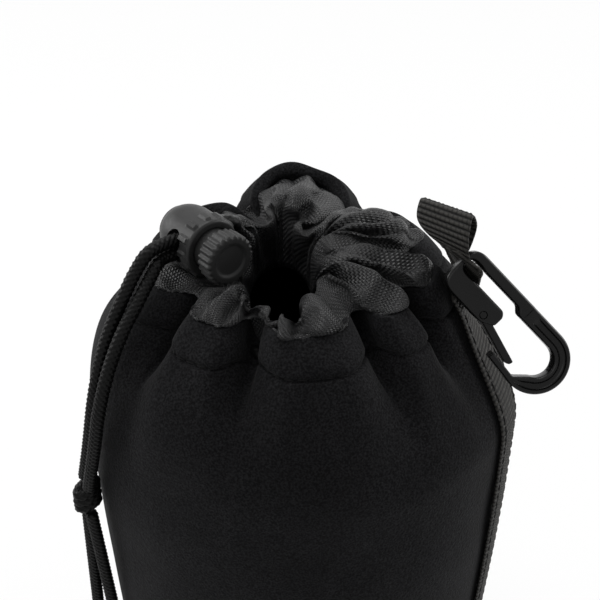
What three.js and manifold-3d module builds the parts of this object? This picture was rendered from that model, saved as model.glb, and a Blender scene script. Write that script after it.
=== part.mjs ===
// Drawstring lens pouch: a gathered neoprene cup with a plush lining, a cinched fabric casing round its
// mouth, a braided drawcord with a spring cord lock, and a plastic carabiner on a webbing loop.
// Millimetres, +Z up. The origin is the centre of the underside, and -Y is the front.
import * as THREE from "three";
import { mergeVertices } from "three/addons/utils/BufferGeometryUtils.js";
import Module from "manifold-3d";

const wasm = await Module();
wasm.setup();

// Driving dimensions of the neoprene cup
const WALL_THICKNESS = 4.5;
const BASE_RADIUS = 54; // outside of the wall at the floor
const BELLY_RADIUS = 60.5; // outside of the wall at its widest
const BELLY_HEIGHT = 120;
const RIM_RADIUS = 33.5; // mean outside radius of the gathered rim
const RIM_SHIFT = new THREE.Vector2(-2, -4); // of the rim's centre off the belly's
const RIM_HEIGHT = 163;
const BACK_HEIGHT = 10; // how far the rim stands up at the back
const BACK_SPREAD = 27; // degrees either side of the back that stand up
const LOBE_DEPTH = 5.5; // how far the gathers swell at the rim
const FOLD_DEPTH = 1.3; // how far a fold dips below a lobe's crest, in lobe depths
const FOLD_SHARPNESS = 3; // a larger power makes narrower folds
const FOLD_AZIMUTHS = [28, 57, 92, 144, 208, 256, 299, 340]; // degrees from the front, towards +X
const COLUMN_SHARES = [0, 0.06, 0.13, 0.23, 0.36, 0.5, 0.64, 0.77, 0.87, 0.94]; // of a lobe's width, closer at the folds
const SHOULDER_ROWS = 9;
const SIDE_ROWS = 2;

// Driving dimensions of the base, the binding and the lining
const BASE_THICKNESS = 5;
const BINDING_THICKNESS = 1.2;
const BINDING_HEIGHT = 9;
const BINDING_FLOOR = 0.6; // tape folded under the wall
const LINING_THICKNESS = 1.5;
const LINING_TOP = 0.6; // share of the shoulder that the lining covers
const CLEARANCE = 0.3; // between pieces that touch
const SOFT_CLEARANCE = 0.6; // between gathered soft pieces
const LINING_CLEARANCE = 1.1; // between the wall and the lining, which follows it in fewer facets

// Driving dimensions of the casing and the drawcord
const MOUTH_CENTRE = new THREE.Vector2(-5, -13.5);
const MOUTH_HALF_WIDTH = 8.5;
const MOUTH_HALF_LENGTH = 20.5;
const CASING_PUFF = 4.7; // how far the gathered fabric stands above the rim
const CASING_EDGE = 0.8; // from the wall's outer edge in to the casing's
const CASING_ROWS = 2; // rows of the shoulder that the casing reaches down inside the wall
const RUFFLE_DEPTH = 1.2;
const RUFFLES_PER_LOBE = 2;
const CORD_DIAMETER = 3.6;
const CORD_SIDES = 8;
const CORD_PITCH = 3.9; // between the two strands' centrelines
const KNOT_CENTRE = new THREE.Vector3(-58.7, -28.9, 101.5);
const KNOT_LENGTH = 10;
const TAIL_LENGTH = 58;

// Driving dimensions of the cord lock
const LOCK_CENTRE = new THREE.Vector3(-26, -10, 171.8);
const LOCK_TURN = -51.5; // degrees about Z, from +X to the button
const BARREL_RADIUS = 7.8;
const BARREL_LENGTH = 18;
const BARREL_BACK = 11.3; // from the cords back to the dome's end
const BORE_RADIUS = 5.7;
const BORE_FLOOR = 9.5; // from the cords back to the floor of the bore
const RUNNING_CLEARANCE = 0.25;
const CORD_HOLE_MARGIN = 0.6;
const PLUNGER_TRAVEL = 2.6;
const STEM_BACK = 3.4; // from the cords back to the stem's end
const BUTTON_RADIUS = 6.9;
const BUTTON_LENGTH = 5;
const BUTTON_RIBS = 18;
const SPRING_RADIUS = 3.8;
const SPRING_WIRE = 0.7;
const SPRING_CURLS = 2.5;
const BARREL_RIBS = 12;

// Driving dimensions of the webbing
const WEBBING_WIDTH = 15;
const WEBBING_THICKNESS = 1.4;
const STRAP_FOOT_AZIMUTH = 68; // degrees from the front, up to the belly
const STRAP_TOP_AZIMUTH = 80; // degrees from the front, at the top of the shoulder
const STRAP_TOP = 0.86; // share of the shoulder that the strap covers
const STRAP_COLUMNS = 4;
const STRAP_DRAW = 5; // how far the sewn strap draws the shoulder in
const STRAP_SPREAD = 34; // degrees either side of the strap that are drawn in

// Driving dimensions of the carabiner, along its length (u), across it (v) and through it (w)
const HOOK_ORIGIN = new THREE.Vector3(40.6, -19.5, 167);
const HOOK_LENGTHWAYS = new THREE.Vector3(0.695, -0.274, -0.665); // from the head to the bow
const HOOK_CROSSWAYS = new THREE.Vector3(0.72, 0.326, 0.616); // from the gate to the spine
const HOOK_THICKNESS = 4.8;
const HOOK_BEVEL = 0.5;
const HEAD_END = -2.5; // u of the head's end
const BAR_END = 15.6; // u of the bar's free end
const BAR_EDGE = -4.9; // v of the bar's outer edge
const SLOT_LOW = 1.3; // v of the two sides of the webbing slot
const SLOT_HIGH = 4.8;
const SLOT_END = 0.3; // u of the slot's end, before its round
const BOW_CENTRE = new THREE.Vector2(29.4, -1.2);
const BOW_RADIUS = 9;
const BOW_INNER_RADIUS = 4.5;
const NOSE_TIP = new THREE.Vector2(20.4, -9.3);
const NOSE_THICKNESS = 1.7;
const GROOVE_DEPTH = 1.1;
const GROOVE_WIDTH = 2.2;
const GATE_THICKNESS = 2;
const GATE_WIDTH = 3.2;
const GATE_PIVOT = new THREE.Vector2(11.4, -3);
const GATE_TIP = new THREE.Vector2(25.6, -6.7);
const GATE_STUD_RADIUS = 0.9;
const GATE_STUD_LENGTH = 0.8;
const GATE_OPENING = 22; // degrees inwards

const rad = THREE.MathUtils.degToRad;
const lerp = THREE.MathUtils.lerp;
const vec = (x, y, z) => new THREE.Vector3(x, y, z);

// Materials
const neoprene = new THREE.MeshStandardMaterial({ color: 0x161617, roughness: 0.92, metalness: 0 });
const plush = new THREE.MeshStandardMaterial({ color: 0x101011, roughness: 1, metalness: 0 });
const binding = new THREE.MeshStandardMaterial({ color: 0x131314, roughness: 0.85, metalness: 0 });
const nylon = new THREE.MeshStandardMaterial({ color: 0x252527, roughness: 0.6, metalness: 0 });
const braid = new THREE.MeshStandardMaterial({ color: 0x151516, roughness: 0.7, metalness: 0 });
const webbing = new THREE.MeshStandardMaterial({ color: 0x1d1d1c, roughness: 0.75, metalness: 0 });
const acetal = new THREE.MeshStandardMaterial({ color: 0x242426, roughness: 0.4, metalness: 0 });
const steel = new THREE.MeshStandardMaterial({ color: 0xa7a9ac, roughness: 0.3, metalness: 1 });

// Closed meshes and booleans

function geometryOf(points, faces) {
  const geometry = new THREE.BufferGeometry();
  geometry.setAttribute("position", new THREE.Float32BufferAttribute(points.flatMap((p) => p.toArray()), 3));
  geometry.setIndex(faces);
  return geometry;
}

// A loft through closed loops of points. A ring joins its last loop to its first. A bar gets end caps, zipped
// between the loop's two halves so that a curved strip's end stays inside its outline.
function loft(loops, isRing) {
  const count = loops[0].length;
  const faces = [];
  const spans = isRing ? loops.length : loops.length - 1;
  for (let i = 0; i < spans; i++) {
    const next = (i + 1) % loops.length;
    for (let j = 0; j < count; j++) {
      const k = (j + 1) % count;
      faces.push(i * count + j, next * count + j, next * count + k);
      faces.push(i * count + j, next * count + k, i * count + k);
    }
  }
  if (!isRing) {
    const last = (loops.length - 1) * count;
    for (let low = 0, high = count - 1; high - low > 1; high--) {
      faces.push(low, low + 1, high);
      faces.push(last + high, last + low + 1, last + low);
      low++;
      if (high - low < 2) break;
      faces.push(low, high - 1, high);
      faces.push(last + high, last + high - 1, last + low);
    }
  }
  return geometryOf(loops.flat(), faces);
}

function solidOf(geometry) {
  const bare = geometry.clone();
  bare.deleteAttribute("normal");
  bare.deleteAttribute("uv");
  const merged = mergeVertices(bare, 1e-4);
  const corners = Array.from(merged.index.array);
  const kept = corners.filter((_, k) => {
    const [a, b, c] = corners.slice(k - (k % 3), k - (k % 3) + 3);
    return a !== b && b !== c && c !== a;
  });
  const triVerts = new Uint32Array(kept);
  const vertProperties = merged.attributes.position.array;
  return new wasm.Manifold(new wasm.Mesh({ numProp: 3, vertProperties, triVerts }));
}

function meshGeometry(solid) {
  const mesh = solid.getMesh();
  const geometry = new THREE.BufferGeometry();
  geometry.setAttribute("position", new THREE.BufferAttribute(mesh.vertProperties, 3));
  geometry.setIndex(new THREE.BufferAttribute(mesh.triVerts, 1));
  return geometry;
}

const cut = (geometry, ...tools) =>
  meshGeometry(tools.reduce((body, tool) => body.subtract(solidOf(tool)), solidOf(geometry)));
const join = (geometry, ...extras) =>
  meshGeometry(extras.reduce((body, extra) => body.add(solidOf(extra)), solidOf(geometry)));

// A drawn outline as plain points, with no point twice.
function outlineOf(path, divisions) {
  const points = path.getPoints(divisions);
  const distinct = points.filter((point, k) => point.distanceTo(points.at(k - 1)) > 1e-3);
  return new THREE.Shape(distinct);
}

function part(name, geometry, material, parent) {
  const mesh = new THREE.Mesh(geometry, material);
  mesh.name = name;
  parent.add(mesh);
  return mesh;
}

// The cup's outer skin, as a surface of azimuth and height share

const shoulder = new THREE.CubicBezierCurve(
  new THREE.Vector2(BELLY_RADIUS, BELLY_HEIGHT),
  new THREE.Vector2(BELLY_RADIUS, lerp(BELLY_HEIGHT, RIM_HEIGHT, 0.4)),
  new THREE.Vector2(lerp(BELLY_RADIUS, RIM_RADIUS, 0.58), lerp(BELLY_HEIGHT, RIM_HEIGHT, 0.72)),
  new THREE.Vector2(RIM_RADIUS, RIM_HEIGHT),
);
const WALL_FOOT = BINDING_FLOOR + CLEARANCE;

// Height share -1 is the foot, 0 the belly and 1 the rim. Gives the mean radius and height.
function profileAt(share) {
  if (share >= 0) return shoulder.getPoint(share);
  const height = lerp(BELLY_HEIGHT, WALL_FOOT, -share);
  const swell = Math.sin((Math.PI / 2) * (height / BELLY_HEIGHT));
  return new THREE.Vector2(lerp(BASE_RADIUS, BELLY_RADIUS, swell), height);
}

// The lobes between neighbouring folds, each with its start, its width and its middle in degrees.
const lobes = FOLD_AZIMUTHS.map((start, i) => {
  const end = i + 1 < FOLD_AZIMUTHS.length ? FOLD_AZIMUTHS[i + 1] : FOLD_AZIMUTHS[0] + 360;
  return { start, width: end - start };
});
const columns = lobes.flatMap(({ start, width }) =>
  COLUMN_SHARES.map((share) => start + width * share),
);

// 1 on a lobe's crest and lower in a fold: broad crests and narrow folds.
function lobeAt(azimuth) {
  const turned = THREE.MathUtils.euclideanModulo(azimuth - FOLD_AZIMUTHS[0], 360) + FOLD_AZIMUTHS[0];
  const lobe = lobes.findLast(({ start }) => start <= turned) ?? lobes[0];
  const along = (turned - lobe.start) / lobe.width;
  const fold = (1 + Math.cos(2 * Math.PI * along)) / 2;
  return 1 - FOLD_DEPTH * fold ** FOLD_SHARPNESS;
}

// How far the rim stands up: level round the front and the sides, with one tall lobe at the back.
function rimRise(azimuth) {
  const fromBack = (THREE.MathUtils.euclideanModulo(azimuth, 360) - 180) / BACK_SPREAD;
  return BACK_HEIGHT * Math.exp(-fromBack * fromBack);
}

// The strap's middle leans back as it climbs the shoulder.
const strapAzimuth = (share) =>
  lerp(STRAP_FOOT_AZIMUTH, STRAP_TOP_AZIMUTH, THREE.MathUtils.smoothstep(share, 0, 0.75));

// How far the strap draws the wall in: most halfway up the shoulder.
function strapPull(azimuth, share) {
  const turn = THREE.MathUtils.euclideanModulo(azimuth - strapAzimuth(share) + 180, 360) - 180;
  const fromStrap = turn / STRAP_SPREAD;
  const halfway = Math.sin(Math.PI * THREE.MathUtils.clamp(share, 0, 1));
  return STRAP_DRAW * halfway ** 2 * Math.exp(-fromStrap * fromStrap);
}

function skinPoint(azimuth, share) {
  const { x: radius, y: height } = profileAt(share);
  const gather = THREE.MathUtils.smoothstep(share, 0, 1);
  const reach = radius + LOBE_DEPTH * gather * lobeAt(azimuth) - strapPull(azimuth, share);
  const x = reach * Math.sin(rad(azimuth)) + RIM_SHIFT.x * gather;
  const y = -reach * Math.cos(rad(azimuth)) + RIM_SHIFT.y * gather;
  return vec(x, y, height + rimRise(azimuth) * gather);
}

// A point off the skin by a signed distance along its normal, outwards when positive.
function skin(azimuth, share, out = 0) {
  const step = 1e-3;
  const across = skinPoint(azimuth + 1, share).sub(skinPoint(azimuth - 1, share));
  const up = skinPoint(azimuth, Math.min(share + step, 1)).sub(skinPoint(azimuth, Math.min(share, 1 - step)));
  const normal = across.cross(up).normalize();
  return skinPoint(azimuth, share).addScaledVector(normal, out);
}

// The same on the flat facets between two neighbouring columns of the wall.
function facetSkin(azimuth, share, out) {
  const next = columns.findIndex((column) => column > azimuth);
  const [from, to] = [columns[next - 1], columns[next]];
  return skin(from, share, out).lerp(skin(to, share, out), (azimuth - from) / (to - from));
}

const sideShares = Array.from({ length: SIDE_ROWS }, (_, k) => k / SIDE_ROWS - 1);
const shoulderShares = Array.from({ length: SHOULDER_ROWS + 1 }, (_, k) => k / SHOULDER_ROWS);
const shares = [...sideShares, ...shoulderShares];

// A shell between two depths behind the skin, over some of the height shares.
function shellBetween(outer, inner, heightShares, azimuths) {
  const loops = azimuths.map((azimuth) => [
    ...heightShares.map((share) => skin(azimuth, share, -outer)),
    ...heightShares.toReversed().map((share) => skin(azimuth, share, -inner)),
  ]);
  return loft(loops, true);
}

const pouch = new THREE.Group();

part("neoprene_wall", shellBetween(0, WALL_THICKNESS, shares, columns), neoprene, pouch);

// Base, binding and lining

const lathe = (profile, segments = 48) =>
  new THREE.LatheGeometry(profile.map(([r, z]) => new THREE.Vector2(r, z)), segments).rotateX(Math.PI / 2);

const discRadius = BASE_RADIUS - WALL_THICKNESS - CLEARANCE;
const DISC_EDGE = 0.8;
function disc(radius, bottom, top) {
  return lathe([
    [0, bottom],
    [radius - DISC_EDGE, bottom],
    [radius, bottom + DISC_EDGE],
    [radius, top - DISC_EDGE],
    [radius - DISC_EDGE, top],
    [0, top],
  ], 36);
}
part("base_disc", disc(discRadius, 0, BASE_THICKNESS), neoprene, pouch);

const liningFloor = BASE_THICKNESS + CLEARANCE;
const liningInset = WALL_THICKNESS + LINING_CLEARANCE;
part(
  "lining_base",
  disc(discRadius - LINING_THICKNESS - 2 * LINING_CLEARANCE, liningFloor, liningFloor + LINING_THICKNESS + DISC_EDGE),
  plush,
  pouch,
);

// The lining starts on the base and follows the inside of the wall.
const liningFoot = -1 + (liningFloor + CLEARANCE - WALL_FOOT) / (BELLY_HEIGHT - WALL_FOOT);
const liningShares = [liningFoot, ...sideShares.slice(1), ...shoulderShares.filter((s) => s <= LINING_TOP)];
part(
  "lining_sleeve",
  shellBetween(liningInset, liningInset + LINING_THICKNESS, liningShares, columns.filter((_, k) => k % 2 === 0)),
  plush,
  pouch,
);

const bindingShares = [0, 0.5, 1].map((k) => -1 + (k * (BINDING_HEIGHT - WALL_FOOT)) / (BELLY_HEIGHT - WALL_FOOT));
const bindingInside = bindingShares.map((share) => {
  const { x, y } = profileAt(share);
  return [x + CLEARANCE, y];
});
const bindingOutside = bindingInside.map(([r, z]) => [r + BINDING_THICKNESS, z]);
const bindingHeel = BASE_RADIUS + CLEARANCE + BINDING_THICKNESS;
const bindingToe = discRadius + CLEARANCE;
part(
  "base_binding",
  lathe(
    [
      [bindingToe, 0],
      [bindingHeel - BINDING_FLOOR, 0],
      [bindingHeel, BINDING_FLOOR],
      ...bindingOutside,
      ...bindingInside.toReversed(),
      [BASE_RADIUS + CLEARANCE, BINDING_FLOOR],
      [bindingToe, BINDING_FLOOR],
      [bindingToe, 0],
    ],
    48,
  ),
  binding,
  pouch,
);

// Drawcord inside the casing: a ring round the mouth whose ends turn out, side by side, to the cord lock.

const lockTurn = rad(LOCK_TURN);
const lockAxis = vec(Math.cos(lockTurn), Math.sin(lockTurn), 0); // from the dome to the button
const cordOut = vec(Math.sin(lockTurn), -Math.cos(lockTurn), 0); // the way the strands leave the lock
const along = (point, direction, distance) => point.clone().addScaledVector(direction, distance);

function tube(points, diameter, sides, steps) {
  const section = new THREE.Shape();
  for (let k = 0; k < sides; k++) {
    const angle = (2 * Math.PI * k) / sides;
    const [x, y] = [(diameter / 2) * Math.cos(angle), (diameter / 2) * Math.sin(angle)];
    if (k === 0) section.moveTo(x, y);
    else section.lineTo(x, y);
  }
  section.closePath();
  const path = new THREE.CatmullRomCurve3(points, false, "centripetal");
  return new THREE.ExtrudeGeometry(section, { extrudePath: path, steps, bevelEnabled: false });
}

const cordRadius = CORD_DIAMETER / 2;
const CHANNEL_COVER = 1.3; // fabric between the cord's channel and the mouth
const CHANNEL_CLEARANCE = 0.35;
const channelInset = cordRadius + CHANNEL_CLEARANCE + CHANNEL_COVER; // from the mouth's edge to the cord
const channelHeight = RIM_HEIGHT - 9.5;
const STRAND_START = -8; // where the strands meet the ring, along them from the cord lock's middle
const RING_FROM = 215; // degrees from the front towards +X where the ring leaves the mouth's edge
const RING_TO = -75;
const RING_POINTS = 12;
const upright = vec(0, 0, 1);

// A point on the cord ring, at an angle in degrees from the front towards +X.
function ringPoint(angle) {
  const x = MOUTH_CENTRE.x + (MOUTH_HALF_WIDTH + channelInset) * Math.sin(rad(angle));
  const y = MOUTH_CENTRE.y - (MOUTH_HALF_LENGTH + channelInset) * Math.cos(rad(angle));
  return vec(x, y, channelHeight);
}
const ringTop = along(along(LOCK_CENTRE, cordOut, STRAND_START), upright, CORD_PITCH / 2);
const ringLow = along(along(LOCK_CENTRE, cordOut, STRAND_START), upright, -CORD_PITCH / 2);
const ringRoute = [
  ringTop,
  along(ringTop, cordOut, -1.5),
  along(along(ringTop, cordOut, -3.5), upright, -1.5),
  along(ringTop, vec(0.5, 0.75, -1), 8),
  ...Array.from({ length: RING_POINTS }, (_, k) => ringPoint(lerp(RING_FROM, RING_TO, k / (RING_POINTS - 1)))),
  along(ringLow, vec(0.3, -0.4, -1), 8.5),
  along(along(ringLow, cordOut, -2.6), upright, -3),
  along(ringLow, cordOut, -1.5),
  ringLow,
];
part("drawcord_ring", tube(ringRoute, CORD_DIAMETER, CORD_SIDES, 40), braid, pouch);

// Casing: a ruffled roll of gathered fabric that stands on the rim and goes down inside the wall, with a
// channel for the cord round the mouth. It is pressed down under the cord lock.

const rimInside = WALL_THICKNESS + SOFT_CLEARANCE;
const casingShares = shoulderShares.slice(-1 - CASING_ROWS, -1);
const LOCK_AZIMUTH = 290;
const LOCK_SPREAD = 46; // degrees either side of the lock that are pressed down
const LOCK_PRESS = 8.2;
const LOOP_SPREAD = 18; // degrees either side of the hang loop that are pressed down
const LOOP_PRESS = 2.6;

// The mouth's edge on the line from its centre to a point.
function mouthTowards(point, height) {
  const x = (point.x - MOUTH_CENTRE.x) / MOUTH_HALF_WIDTH;
  const y = (point.y - MOUTH_CENTRE.y) / MOUTH_HALF_LENGTH;
  const far = Math.hypot(x, y);
  return vec(MOUTH_CENTRE.x + (MOUTH_HALF_WIDTH * x) / far, MOUTH_CENTRE.y + (MOUTH_HALF_LENGTH * y) / far, height);
}

function casingLoop(azimuth) {
  const lobe = lobes.findLast(({ start }) => start <= azimuth) ?? lobes[0];
  const within = (azimuth - lobe.start) / lobe.width;
  const ruffle = RUFFLE_DEPTH * Math.cos(2 * Math.PI * RUFFLES_PER_LOBE * within);
  const fromLock = (THREE.MathUtils.euclideanModulo(azimuth, 360) - LOCK_AZIMUTH) / LOCK_SPREAD;
  const fromLoop = (azimuth - STRAP_TOP_AZIMUTH) / LOOP_SPREAD;
  const press = LOCK_PRESS * Math.exp(-(fromLock ** 2)) + LOOP_PRESS * Math.exp(-(fromLoop ** 2));
  const upwards = skinPoint(azimuth, 1).sub(skinPoint(azimuth, 0.99)).normalize();
  const aboveRim = (depth) => along(skin(azimuth, 1, -depth), upwards, 3 * SOFT_CLEARANCE);
  const edge = aboveRim(CASING_EDGE);
  const middle = aboveRim(WALL_THICKNESS / 2);
  const mouth = mouthTowards(middle, channelHeight);
  const between = (share, height) => vec(lerp(mouth.x, middle.x, share), lerp(mouth.y, middle.y, share), height);
  const crown = lerp(RIM_HEIGHT, edge.z, 0.8) + CASING_PUFF + ruffle - press;
  const shoulderHeight = Math.max(lerp(edge.z, crown, 0.62), edge.z + SOFT_CLEARANCE);
  const floor = channelHeight - channelInset;
  return [
    ...casingShares.map((share) => skin(azimuth, share, -rimInside)),
    aboveRim(rimInside),
    edge,
    edge.clone().lerp(middle, 0.2).setZ(shoulderHeight),
    between(0.6, crown),
    between(0.14, lerp(crown, channelHeight + channelInset, 0.62)),
    between(0, channelHeight + channelInset),
    between(0, channelHeight),
    between(0.1, floor),
    between(0.45, floor - 1),
  ];
}
const channel = tube(ringRoute, CORD_DIAMETER + 2 * CHANNEL_CLEARANCE, CORD_SIDES, 40);
part("drawstring_casing", cut(loft(columns.map(casingLoop), true), channel), nylon, pouch);

// Free stretches of the drawcord, from the cord lock down the side to the knot and its two tails

const lockStart = along(LOCK_CENTRE, cordOut, STRAND_START + CLEARANCE);
const lockFinish = along(LOCK_CENTRE, cordOut, 11);
// The middle of the pair, then how far and which way the outer strand lies from it.
const strandRoute = [
  [vec(-36.8, -20, 171.4), vec(-0.2, 0.3, 0.93)],
  [vec(-39.2, -23, 168.2), vec(-0.4, 0.45, 0.8)],
  [vec(-42, -27, 163.6), vec(-0.5, 0.6, 0.62)],
  [vec(-44.8, -30.5, 158.6), vec(-0.57, 0.7, 0.42)],
  [vec(-47.6, -33.5, 152), vec(-0.6, 0.76, 0.25)],
  [vec(-50, -35.6, 144), vec(-0.55, 0.82, 0.1)],
  [vec(-51.9, -36, 136), vec(-0.5, 0.85, 0)],
  [vec(-53.5, -35, 128), vec(-0.48, 0.87, 0)],
  [vec(-55.2, -33.3, 120), vec(-0.46, 0.88, 0)],
  [vec(-57, -31.5, 112), vec(-0.45, 0.88, 0)],
  [along(KNOT_CENTRE, vec(0.1, -0.15, 1), KNOT_LENGTH / 2 + SOFT_CLEARANCE), vec(-0.45, 0.88, 0)],
];
const pairRoute = [[lockStart, upright], [along(LOCK_CENTRE, cordOut, 0), upright], [lockFinish, upright], ...strandRoute];
// One strand of the pair: its offset is kept square to the way the pair runs.
function strandPoints(side) {
  return pairRoute.map(([middle, across], k) => {
    const before = pairRoute[Math.max(k - 1, 0)][0];
    const after = pairRoute[Math.min(k + 1, pairRoute.length - 1)][0];
    const square = across.clone().projectOnPlane(after.clone().sub(before).normalize());
    return along(middle, square.normalize(), (side * CORD_PITCH) / 2);
  });
}
part("cord_strand_outer", tube(strandPoints(1), CORD_DIAMETER, CORD_SIDES, 32), braid, pouch);
part("cord_strand_inner", tube(strandPoints(-1), CORD_DIAMETER, CORD_SIDES, 32), braid, pouch);

const knotProfile = [
  [0, -0.5],
  [0.62, -0.5],
  [0.93, -0.38],
  [1, -0.24],
  [0.86, -0.06],
  [0.86, 0.06],
  [1, 0.22],
  [0.93, 0.36],
  [0.62, 0.5],
  [0, 0.5],
];
const KNOT_HALF_WIDTH = 3.9;
const KNOT_FLATTENING = 0.7;
const knot = lathe(knotProfile.map(([r, z]) => [r * KNOT_HALF_WIDTH, z * KNOT_LENGTH]), 16);
knot.scale(KNOT_FLATTENING, 1, 1).rotateZ(rad(-62)).translate(...KNOT_CENTRE.toArray());
part("cord_knot", knot, braid, pouch);

const tailTop = along(KNOT_CENTRE, vec(0, 0, -1), KNOT_LENGTH / 2 + SOFT_CLEARANCE);
function tailPoints(side, spread, lean) {
  const across = vec(-0.45, 0.88, 0);
  return [0, 0.3, 0.65, 1].map((share) => {
    const drop = along(tailTop, vec(lean, 0.09, -1), share * TAIL_LENGTH);
    return along(drop, across, side * (CORD_PITCH / 2 + spread * share));
  });
}
part("cord_tail_outer", tube(tailPoints(1, 2.5, -0.03), CORD_DIAMETER, CORD_SIDES, 10), braid, pouch);
part("cord_tail_inner", tube(tailPoints(-1, 2, 0.04), CORD_DIAMETER, CORD_SIDES, 10), braid, pouch);

// Cord lock: a domed barrel, a sprung plunger with a slot for the strands, and the spring between them.
// Built with the button along +X and the strands along Y, then turned into place.

const placeLock = (geometry) => geometry.rotateZ(lockTurn).translate(...LOCK_CENTRE.toArray());
const latheAlongX = (profile, segments) =>
  new THREE.LatheGeometry(profile.map(([r, x]) => new THREE.Vector2(r, x)), segments).rotateZ(-Math.PI / 2);

// A hole along Y for the two strands, stacked in Z, that reaches from one X to another.
function strandHole(fromX, toX) {
  const reach = cordRadius + CORD_HOLE_MARGIN;
  const top = CORD_PITCH / 2;
  const outline = new THREE.Shape();
  outline.absarc(toX, top, reach, Math.PI / 2, 0, true);
  outline.absarc(toX, -top, reach, 0, -Math.PI / 2, true);
  outline.absarc(fromX, -top, reach, -Math.PI / 2, -Math.PI, true);
  outline.absarc(fromX, top, reach, Math.PI, Math.PI / 2, true);
  const length = 3 * BARREL_RADIUS;
  const hole = new THREE.ExtrudeGeometry(outlineOf(outline, 4), { depth: length, bevelEnabled: false });
  return hole.translate(0, 0, -length / 2).rotateX(Math.PI / 2);
}

const barrelMouth = BARREL_LENGTH - BARREL_BACK;
const barrel = latheAlongX(
  [
    [0, -BARREL_BACK],
    [0.5 * BARREL_RADIUS, -BARREL_BACK + 0.3],
    [0.82 * BARREL_RADIUS, -BARREL_BACK + 1.3],
    [0.96 * BARREL_RADIUS, -BARREL_BACK + 3.6],
    [BARREL_RADIUS, -BARREL_BACK + 7],
    [BARREL_RADIUS, barrelMouth - 0.8],
    [BARREL_RADIUS - 0.8, barrelMouth],
    [BORE_RADIUS, barrelMouth],
    [BORE_RADIUS, -BORE_FLOOR],
    [0, -BORE_FLOOR],
  ],
  24,
);
const RIB_LENGTH = 3;
const RIB_WIDTH = 1.5;
const RIB_HEIGHT = 0.7;
const barrelRibs = Array.from({ length: BARREL_RIBS }, (_, k) =>
  new THREE.BoxGeometry(RIB_LENGTH, RIB_WIDTH, 2 * RIB_HEIGHT)
    .translate(barrelMouth - 0.9 - RIB_LENGTH / 2, 0, BARREL_RADIUS - 0.1)
    .rotateX((2 * Math.PI * k) / BARREL_RIBS),
);
part("lock_barrel", placeLock(cut(join(barrel, ...barrelRibs), strandHole(0, 0))), acetal, pouch);

const buttonStart = barrelMouth + PLUNGER_TRAVEL + 0.4;
const stemRadius = BORE_RADIUS - RUNNING_CLEARANCE;
const stem = latheAlongX(
  [
    [0, -STEM_BACK],
    [stemRadius - 0.5, -STEM_BACK],
    [stemRadius, -STEM_BACK + 0.5],
    [stemRadius, buttonStart + 1],
    [0, buttonStart + 1],
  ],
  24,
);
const buttonOutline = new THREE.Shape();
for (let k = 0; k < 2 * BUTTON_RIBS; k++) {
  const radius = BUTTON_RADIUS - (k % 2 ? 0.9 : 0.4);
  const angle = (Math.PI * k) / BUTTON_RIBS;
  if (k === 0) buttonOutline.moveTo(radius, 0);
  else buttonOutline.lineTo(radius * Math.cos(angle), radius * Math.sin(angle));
}
buttonOutline.closePath();
const BUTTON_EDGE = 0.4;
const button = new THREE.ExtrudeGeometry(buttonOutline, {
  depth: BUTTON_LENGTH - 2 * BUTTON_EDGE,
  bevelThickness: BUTTON_EDGE,
  bevelSize: BUTTON_EDGE,
  bevelSegments: 1,
});
button.translate(0, 0, BUTTON_EDGE + buttonStart).rotateY(Math.PI / 2);
part("lock_plunger", placeLock(cut(join(stem, button), strandHole(0, PLUNGER_TRAVEL))), acetal, pouch);

const springStart = -BORE_FLOOR + CLEARANCE + SPRING_WIRE / 2;
const springEnd = -STEM_BACK - CLEARANCE - SPRING_WIRE / 2;
const SPRING_STEPS = 8;
const SPRING_SIDES = 5;
const springLoops = Array.from({ length: SPRING_CURLS * SPRING_STEPS + 1 }, (_, k) => {
  const turn = (2 * Math.PI * k) / SPRING_STEPS;
  const x = lerp(springStart, springEnd, k / (SPRING_CURLS * SPRING_STEPS));
  return Array.from({ length: SPRING_SIDES }, (_, side) => {
    const angle = (2 * Math.PI * side) / SPRING_SIDES;
    const radius = SPRING_RADIUS + (SPRING_WIRE / 2) * Math.cos(angle);
    return vec(x + (SPRING_WIRE / 2) * Math.sin(angle), radius * Math.cos(turn), radius * Math.sin(turn));
  });
});
part("lock_spring", placeLock(loft(springLoops, false)), steel, pouch);

// The spring's least gap to itself, over points of its wire at least half a curl apart.
const springGaps = springLoops.flatMap((loop, i) =>
  springLoops.slice(i + SPRING_STEPS / 2).flatMap((other) => loop.flatMap((a) => other.map((b) => a.distanceTo(b)))),
);
console.log(`lock_spring: least gap to itself ${Math.min(...springGaps).toFixed(2)} mm`);

// Webbing strap along the side, sewn to the skin from the binding to the rim

const strapFoot = bindingShares.at(-1) + 2 * CLEARANCE / BELLY_HEIGHT;
const strapShares = [strapFoot, ...shares.filter((share) => share > strapFoot + 0.05 && share < STRAP_TOP), STRAP_TOP];
const strapLow = 1.3 * SOFT_CLEARANCE;
const strapHigh = strapLow + WEBBING_THICKNESS;
const strapLoops = strapShares.map((share) => {
  const middle = strapAzimuth(share);
  const girth = skinPoint(middle, share);
  const halfAngle = THREE.MathUtils.radToDeg(WEBBING_WIDTH / 2 / Math.hypot(girth.x, girth.y));
  const sides = Array.from({ length: STRAP_COLUMNS + 1 }, (_, k) => (2 * k) / STRAP_COLUMNS - 1);
  const azimuths = sides.map((side) => middle + side * halfAngle);
  return [
    ...azimuths.map((azimuth) => facetSkin(azimuth, share, strapLow)),
    ...azimuths.toReversed().map((azimuth) => facetSkin(azimuth, share, strapHigh)),
  ];
});
part("side_strap", loft(strapLoops, false), webbing, pouch);

// Carabiner: drawn flat along u and v, thickened along w, then set beside the loop

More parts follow.
